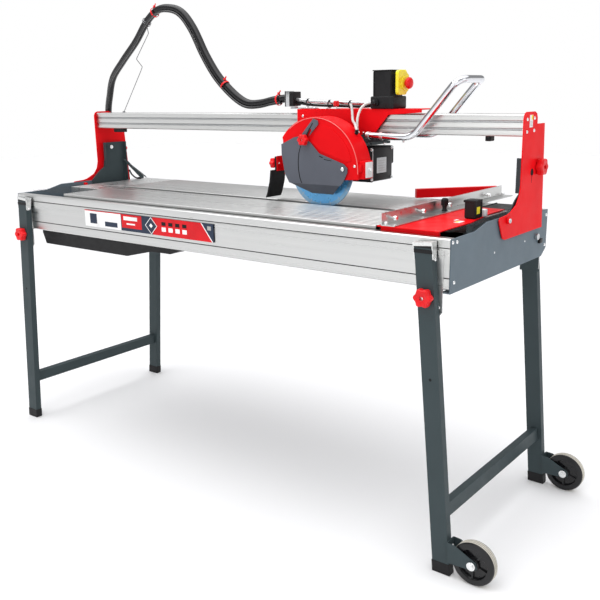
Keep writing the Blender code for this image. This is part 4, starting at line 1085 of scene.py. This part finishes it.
def decal(name, outline, level, finish):
    """A thin printed field on the front rail; its outline is in X and Z."""
    start = RAIL_FACE - 0.0001
    shapes = [prism(outline, "Y", start, start - 0.0004 - 0.0002 * level)]
    piece("panel_" + name, shapes, finish, "frame")


def field(x0, x1, z0, z1):
    return [(x0, z0), (x1, z0), (x1, z1), (x0, z1)]


def rail_panel():
    """Coloured fields on the front rail, with plain blocks where the print would be."""
    low, high = 0.8452, 0.9045
    for name, level, finish, *edges in (
        ("white", 0, "white_print", -0.5290, -0.3300, low, high),
        ("navy", 0, "navy_print", -0.3300, 0.1175, low, high),
        ("top_line", 1, "red_print", -0.5290, -0.3260, 0.9015, high),
        ("block_one", 1, "navy_print", -0.5000, -0.4620, 0.8570, 0.8930),
        ("block_two", 1, "navy_print", -0.4180, -0.3500, 0.8520, 0.8690),
        ("red_block", 1, "red_print", -0.3260, -0.2220, 0.8560, 0.9030),
        ("white_bar_one", 2, "white_print", -0.3150, -0.2440, 0.8830, 0.8960),
        ("white_bar_two", 2, "white_print", -0.3000, -0.2560, 0.8680, 0.8730),
    ):
        decal(name, field(*edges), level, finish)
    red = [(-0.1660, low), (0.1130, low), (0.0640, high), (-0.1660, high)]
    decal("red_field", red, 1, "red_print")
    line = [(0.1110, low), (0.1150, low), (0.0660, high), (0.0620, high)]
    decal("slant_line", line, 2, "white_print")
    decal("end_mark", field(0.0910, 0.1070, 0.8830, 0.8960), 2, "hub_grey")
    x, z = -0.1740, 0.8748
    for level, half, tall, finish in (
        (2, 0.0300, 0.0295, "white_print"),
        (3, 0.0268, 0.0262, "navy_print"),
        (4, 0.0090, 0.0080, "white_print"),
    ):
        outline = [(x - half, z), (x, z - tall), (x + half, z), (x, z + tall)]
        decal(f"diamond_{level}", outline, level, finish)
    for i in range(4):
        x = -0.1220 + 0.0330 * i
        decal(f"square_{i}_dark", field(x, x + 0.0200, 0.8800, 0.8920), 2, "dark")
        decal(f"square_{i}_pale", field(x, x + 0.0200, 0.8600, 0.8740), 2, "white_print")
    ring = tube("Y", (0.0310, 0.8740), 0.0085, 0.0125, -0.3206, -0.3209, 40)
    piece("panel_round_mark", [ring], "white_print", "frame")
    marks = [field(0.010 + 0.004 * i, 0.012 + 0.004 * i, 0.9150, 0.9175) for i in range(4)]
    piece("rail_marks", [prism(mark, "Y", -0.3201, -0.3204) for mark in marks], "hub_grey", "frame")


def groove_strips(front, rear, count, level):
    """Painted shade in the floor of a deck's shallow grooves."""
    pitch = (rear - front - 0.012) / count
    strips = []
    for i in range(count):
        y = front + 0.006 + pitch * (i + 0.5)
        strips.append(slab(-0.918, 0.918, y - 0.0015, y + 0.0015, level - 0.0012, level - 0.0008))
    return strips


def groove_shadows():
    """Dark strips painted as the shade in every groove along the decks, the rails and the beam."""
    strips = []
    for node in ("front_table", "rear_table"):
        low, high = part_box(node)
        strips += groove_strips(low.y - ORIGIN.y, high.y - ORIGIN.y, 12, high.z)
    for z in (0.9115, 0.8335):
        for y0, y1 in ((-0.3190, -0.3182), (0.3182, 0.3190)):
            strips.append(slab(-0.946, 0.946, y0, y1, z - 0.0010, z + 0.0010))
    # The deck and rail strips are painted shade in their grooves
    piece("groove_shade_lines", strips, "groove_shade", "frame")
    # Mid-grey strips painted as the shade in the beam's two grooves
    strips = [slab(-0.945, 0.945, 0.0970, 0.0980, z - 0.0016, z + 0.0016) for z in (1.212, 1.190)]
    piece("beam_groove_shade_lines", strips, "grey_plate", "bridge")


def frame_bolts():
    shapes = []
    plates = []
    studs = []
    corners = ((-0.3115, 0.9270), (-0.2880, 0.9250), (-0.2990, 0.8200), (0.3080, 0.8250), (0.3080, 0.9200))
    for side in (-1, 1):
        face = side * HALF_LENGTH
        shapes += bolts(dome_bolt, [(face, y, z) for y, z in corners], (side, 0, 0), 0.0052)
        shapes += bolts(dome_bolt, [(face, y, 0.860) for y in (-0.060, 0.150, 0.250)], (side, 0, 0), 0.0030)
        shapes += hex_bolt((side * 0.9240, 0.1399, 1.089), (-side, 0, 0), 0.0055)
        for flip in (-1, 1):
            points = [(side * (LEG_PIVOT_X + x), flip * 0.3232, 0.7540) for x in (-0.016, 0.026)]
            shapes += bolts(dome_bolt, points, (0, flip, 0), 0.0042)
        x0, x1 = sorted((side * 0.8684, side * 0.9308))
        plates.append(soft_slab(x0, x1, 0.3175, 0.3190, 0.7330, 0.8030, 0.0006, 1))
        plates.append(soft_slab(x0, x1, 0.3234, 0.3246, 0.7330, 0.8030, 0.0005, 1))
        studs += hex_bolt((side * LEG_PIVOT_X, 0.3175, LEG_PIVOT_Z), FRONT, 0.0062)
    piece("frame_bolts", shapes, "bolt", "frame")
    piece("rear_lug_plates", plates, "dark_grey_paint", "frame")
    piece("rear_lug_bolts", studs, "bolt", "frame")


def frame_details():
    """The mat, latch, stay and lead on the frame's ends."""
    mat = [soft_slab(0.7900, 0.8830, 0.1660, 0.2920, 0.9454, 0.9468, 0.0004, 1)]
    mat.append(soft_slab(0.7900, 0.7930, 0.1660, 0.2920, 0.9454, 0.9492, 0.0008, 1))
    latch = soft_slab(0.9510, 0.9580, 0.2500, 0.2720, 0.8380, 0.8520, 0.0015, 2)
    nut = tube("X", (0.232, 0.862), 0, 0.010, 0.951, 0.959, 24)
    stay = [(-0.9200, 1.0060), (-0.9160, 1.0120), (-0.8150, 0.9610), (-0.8150, 0.9540)]
    lead = smooth_line(TOWER_LEAD_ROUTE, 0.004)
    along = (lead[-1] - lead[-4]).normalized()
    for name, shapes, finish in (
        ("end_mat", mat, "black_plastic"),
        ("side_latch", [latch], "black_plastic"),
        ("side_latch_nut", [nut], "steel"),
        ("tower_stay", [prism(stay, "Y", 0.2290, 0.2310)], "zinc"),
        ("tower_lead", [swept(lead, 0.0034, 12), band(lead[-3], along, 0.0034, 0.010, 0.0016)], "rubber"),
    ):
        piece(name, shapes, finish, "frame")


def bridge_fittings():
    shapes = []
    pins = []
    pads = []
    corners = ((0.1080, 1.2180), (0.1590, 1.2200), (0.1080, 1.1830), (0.1590, 1.1850))
    pin = [(0, 0.9640), (0.0070, 0.9640), (0.0064, 0.9662), (0.0030, 0.9662), (0.0026, 0.9650), (0, 0.9650)]
    for side in (-1, 1):
        shapes += bolts(dome_bolt, [(side * 0.9565, y, z) for y, z in corners], (side, 0, 0), 0.0050)
        pins.append(turned([(r, side * h) for r, h in pin], "X", (0.003, 0.942), 24))
        x0, x1 = sorted((side * 0.9515, side * 0.9530))
        pads.append(soft_slab(x0, x1, 0.100, 0.167, 1.175, 1.228, 0.0005, 1))
    shapes += hex_bolt((-0.9535, 0.198, 1.1565), RIGHT, 0.0048)
    piece("bridge_bolts", shapes, "bolt", "bridge")
    piece("pivot_pin_heads", pins, "steel", "bridge")
    label = soft_slab(0.9564, 0.9570, 0.1235, 0.1460, 1.1950, 1.2300, 0.0002, 1)
    piece("upright_label", [label], "white_print", "bridge")
    block = soft_slab(0.9568, 0.9573, 0.1345, 0.1450, 1.2160, 1.2290, 0.0002, 1)
    piece("upright_label_block", [block], "yellow_print", "bridge")
    rows = []
    for i in range(4):
        z = 0.0040 * i
        rows.append(slab(0.9568, 0.9572, 0.1260, 0.1430 - 0.003 * (i % 2), 1.1990 + z, 1.2002 + z))
    piece("upright_label_rows", rows, "hub_grey", "bridge")
    # The keyhole: a dark disc and slot painted as the shade inside the opening
    keyhole = tube("X", (0.160, 1.065), 0, 0.0105, 0.9563, 0.9568, 28)
    slot = prism([(0.1580, 1.062), (0.1620, 1.062), (0.1612, 1.034), (0.1596, 1.034)], "X", 0.9563, 0.9568)
    piece("upright_keyhole", [keyhole, slot], "dark", "bridge")
    tail = [
        (*HOSE_FOOT, 1.064), (-0.9748, 0.1795, 1.056), (-0.9700, 0.182, 1.0500), (-0.9600, 0.1845, 1.0560),
        (-0.9540, 0.185, 1.059),
    ]
    cup = smooth_line([(*HOSE_FOOT, 1.067), (*HOSE_FOOT, 1.056)], 0.004)
    foot = [band((*HOSE_FOOT, 1.074), UP, 0.0142, 0.020, 0.0030)]
    foot.append(swept(smooth_line(tail, 0.004), 0.0068, 16))
    foot.append(swept(cup, [0.0155, 0.0155, 0.0140, 0.0110], 24))
    piece("hose_foot", foot, "black_plastic", "bridge")
    saddles = [band((*HOSE_FOOT, z), UP, 0.0145, 0.016, 0.0016) for z in (1.205, 1.115)]
    piece("hose_saddles", saddles, "red_paint", "bridge")
    piece("beam_end_pads", pads, "black_plastic", "bridge")


def gauge_fittings():
    places = [
        (0.800, -0.290), (0.885, -0.285), (0.845, -0.170), (0.790, -0.200), (0.870, 0.050), (0.870, 0.130),
        (0.800, 0.150),
    ]
    shapes = bolts(dome_bolt, [(x, y, 0.9474) for x, y in places], UP, 0.0048)
    piece("gauge_screws", shapes, "bolt", "gauge_slide")
    rows = [(0.866, 0.884, -0.150, -0.118, 0.9497, 0.9507), (0.850, 0.858, -0.118, -0.100, 0.9497, 0.9510)]
    block = soft_slab(0.874, 0.892, -0.012, 0.010, 0.9497, 0.9700, 0.0015, 2)
    piece("gauge_tags", [*soft_slabs(rows, 0.0003, 1), block], "white_print", "gauge_slide")
    rows = [
        (0.868, 0.876, -0.146, -0.128, 0.9506, 0.9510),
        (0.8918, 0.8924, -0.0620, -0.0420, 0.9630, 0.9830),
    ]
    piece("gauge_yellow_marks", soft_slabs(rows, 0.0002, 1), "yellow_print", "gauge_slide")
    lid = soft_slab(0.8560, 0.8935, -0.0735, -0.0285, 0.9960, 1.0026, 0.0010, 2)
    rows = [(0.8900, 0.8935, y, y + 0.0045, 0.9510, 0.9980) for y in (-0.0735, -0.0330)]
    piece("gauge_box_frame", [lid, *soft_slabs(rows, 0.0010, 1)], "black_plastic", "gauge_slide")


def fence_fittings():
    """The fence's clamping screws, and the ribbed knob that locks its angle."""
    screws = []
    stem = [(0, 0), (0.0036, 0), (0.0036, 0.016), (0, 0.016)]
    cap = [(0, 0.012), (0.0068, 0.012), (0.0068, 0.018), (0.0058, 0.020), (0, 0.020)]
    for y in (-0.255, -0.100, 0.060, 0.330):
        screws.append(standing(stem, (0.7300, y, 0.9660), RIGHT, 16))
        screws.append(standing(cap, (0.7300, y, 0.9660), RIGHT, 12))
    peg = [(0, 0), (0.0052, 0), (0.0052, 0.006), (0.0030, 0.008), (0, 0.008)]
    screws += [standing(peg, (0.7400, y, 0.9533), UP, 16) for y in (-0.296, 0.450)]
    piece("fence_screws", screws, "bolt", "gauge_turn")
    centre = (0.752, 0.012)
    profile = [
        (0, 0.9505), (0.003, 0.9505), (0.003, 0.9537), (0.0085, 0.9537), (0.0085, 0.9560), (0.0066, 0.9590),
        (0.0062, 0.9640), (0.0086, 0.9700), (0.0098, 0.9800), (0.0098, 0.9850), (0.0084, 0.9900),
        (0.0050, 0.9920), (0, 0.9920),
    ]
    grip = [turned(profile, "Z", centre, 32)]
    piece("gauge_knob_grip", grip, "black_plastic", "gauge_knob", ["gauge_knob"], angle=50)
    rib = [(0, 0.9700), (0.0014, 0.9715), (0.0014, 0.9870), (0, 0.9885)]
    ribs = [turned(rib, "Z", polar(centre, 0.0094, 36 * i), 10) for i in range(10)]
    piece("gauge_knob_ribs", ribs, "black_plastic", "gauge_knob")


def leg_middle(side, z):
    """The X of a leg's middle line at that height."""
    return side * (LEG_PIVOT_X + (LEG_PIVOT_Z - z) * math.tan(LEG_SPLAY))


def leg_section(side, z0, z1, extra):
    """A leg's outline in X and Z between two heights, wider by the extra at each edge."""
    points = []
    for z, signs in ((z0, (-1, 1)), (z1, (1, -1))):
        points += [(leg_middle(side, z) + sign * (LEG_HALF + extra), z) for sign in signs]
    return points


def leg_ends():
    """Rubber shoes, top plugs and bands, a dark disc painted as the shade inside the hole in each tube, and
    the catch's rivets.
    """
    hole_z, rivet_z = 0.560, 0.8830
    for side, name in ((-1, "left"), (1, "right")):
        body = "leg_" + name
        shoes = []
        holes = []
        for flip in (-1, 1):
            shoe = leg_section(side, 0.0004, 0.034, 0.0016)
            plug = leg_section(side, 0.9120, 0.9186, 0.0006)
            shoes.append(prism(shoe, "Y", flip * 0.3220, flip * 0.3490))
            shoes.append(prism(plug, "Y", flip * 0.3230, flip * 0.3480))
            # The hole: a dark disc painted as the shade inside it
            hole = (leg_middle(side, hole_z), hole_z)
            holes.append(tube("Y", hole, 0, 0.0042, flip * 0.3474, flip * 0.3477))
        soften(piece(f"leg_shoes_{name}", shoes, "rubber", body), 0.0010, 2)
        piece(f"leg_holes_{name}", holes, "dark", body)
        strip = prism(leg_section(side, 0.8985, 0.9085, 0.0012), "Y", -0.3488, -0.3226)
        piece(f"leg_band_{name}", [strip], "black_plastic", body)
        rivets = []
        for sign in (-1, 1):
            x = leg_middle(side, rivet_z) + sign * (LEG_HALF + 0.0029)
            rivets += dome_bolt((x, -LEG_Y, rivet_z), (sign, 0, 0), 0.0044)
        piece(f"leg_catch_rivets_{name}", rivets, "bolt", "leg_catch_" + name)


def wheels():
    """Black tyres with cream tread rings, spoked hubs, and the bolts on their forks."""
    tyre = [(0.0440, -0.0150), (0.0560, -0.0148), (0.0604, -0.0130), (0.0620, -0.0100)]
    hub = [
        (0.0066, -0.0160), (0.0160, -0.0160), (0.0180, -0.0150), (0.0200, -0.0080), (0.0400, -0.0070),
        (0.0445, -0.0130),
    ]
    x, z = WHEEL_CENTRE
    for name, flip in (("front", -1), ("rear", 1)):
        middle = flip * WHEEL_Y
        body = NODE_BODY[f"wheel_{name}"]
        shape = even_disc(tyre, WHEEL_CENTRE, middle, 72)
        piece(f"wheel_{name}_tyre", [shape], "wheel_rubber", body, [f"wheel_{name}"])
        rings = []
        for place, half in ((-0.0064, 0.0024), (0.0, 0.0026), (0.0064, 0.0024)):
            tread = [(0.0600, -half), (0.0622, -half), (0.0625, 0.0005 - half)]
            rings.append(even_disc(tread, WHEEL_CENTRE, middle + place, 72))
        piece(f"wheel_{name}_tread", rings, "cream", body)
        shapes = [even_disc(hub, WHEEL_CENTRE, middle, 64)]
        for i in range(5):
            bar = slab(0.0170, 0.0440, -0.0025, 0.0025, -0.0125, 0.0125)
            turn = Matrix.Rotation(math.radians(72 * i + 18), 4, "Y")
            turn = turn @ Matrix.Rotation(math.radians(90), 4, "X")
            hub_place = Matrix.Translation(Vector((x, middle, z)))
            bmesh.ops.transform(bar, matrix=hub_place @ turn, verts=bar.verts[:])
            shapes.append(bar)
        piece(f"wheel_{name}_hub", shapes, "gloss_black", body)
        shapes = hex_bolt((x, flip * 0.3592, z), (0, flip, 0), 0.0085)
        shapes += hex_bolt((x, flip * 0.3108, z), (0, -flip, 0), 0.0085)
        for up in (0.062, 0.092):
            point = (0.9905 - (up - 0.062) * 0.05 + 0.002, middle, up)
            shapes += dome_bolt(point, (1, 0, 0.1), 0.0040)
        piece(f"wheel_{name}_bolts", shapes, "bolt", NODE_BODY[f"wheel_fork_{name}"])


# Nodes whose pieces are made above; every other node keeps its CAD shape
SPECIAL = {
    "power_hose", "water_hose", "hose_carrier", "hose_support_wire", "blade_guard", "side_cover",
    "blade", "blade_flange", "motor_housing", "handle", "leg_knob_left", "leg_knob_right",
    "cover_knob", "flap_knob", "lock_knob", "tilt_knob_left", "tilt_knob_right", "switch_box",
    "switch_cover", "stop_button", "guide_roller_left", "guide_roller_right", "gauge_knob",
    "wheel_front", "wheel_rear", "splash_flap",
}
BROKEN_EDGE = {"front_table": 0.0002, "rear_table": 0.0002, "front_rail": 0.0004, "rear_rail": 0.0004}
for node in sorted(frame["nodes"]):
    if node not in SPECIAL:
        refined(node, BROKEN_EDGE.get(node, 0.0006))
flap = refined("splash_flap", 0.0006)
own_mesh(flap)
power_hose()
small_hoses()
clipped_lead()
support_wire()
guard()
cover_details()
blade_disc()
motor()
head_fittings()
grip_bar()
knobs()
switch()
rollers()
carriage_fittings()
rail_panel()
groove_shadows()
frame_bolts()
frame_details()
bridge_fittings()
gauge_fittings()
fence_fittings()
leg_ends()
wheels()
camera()
studio()
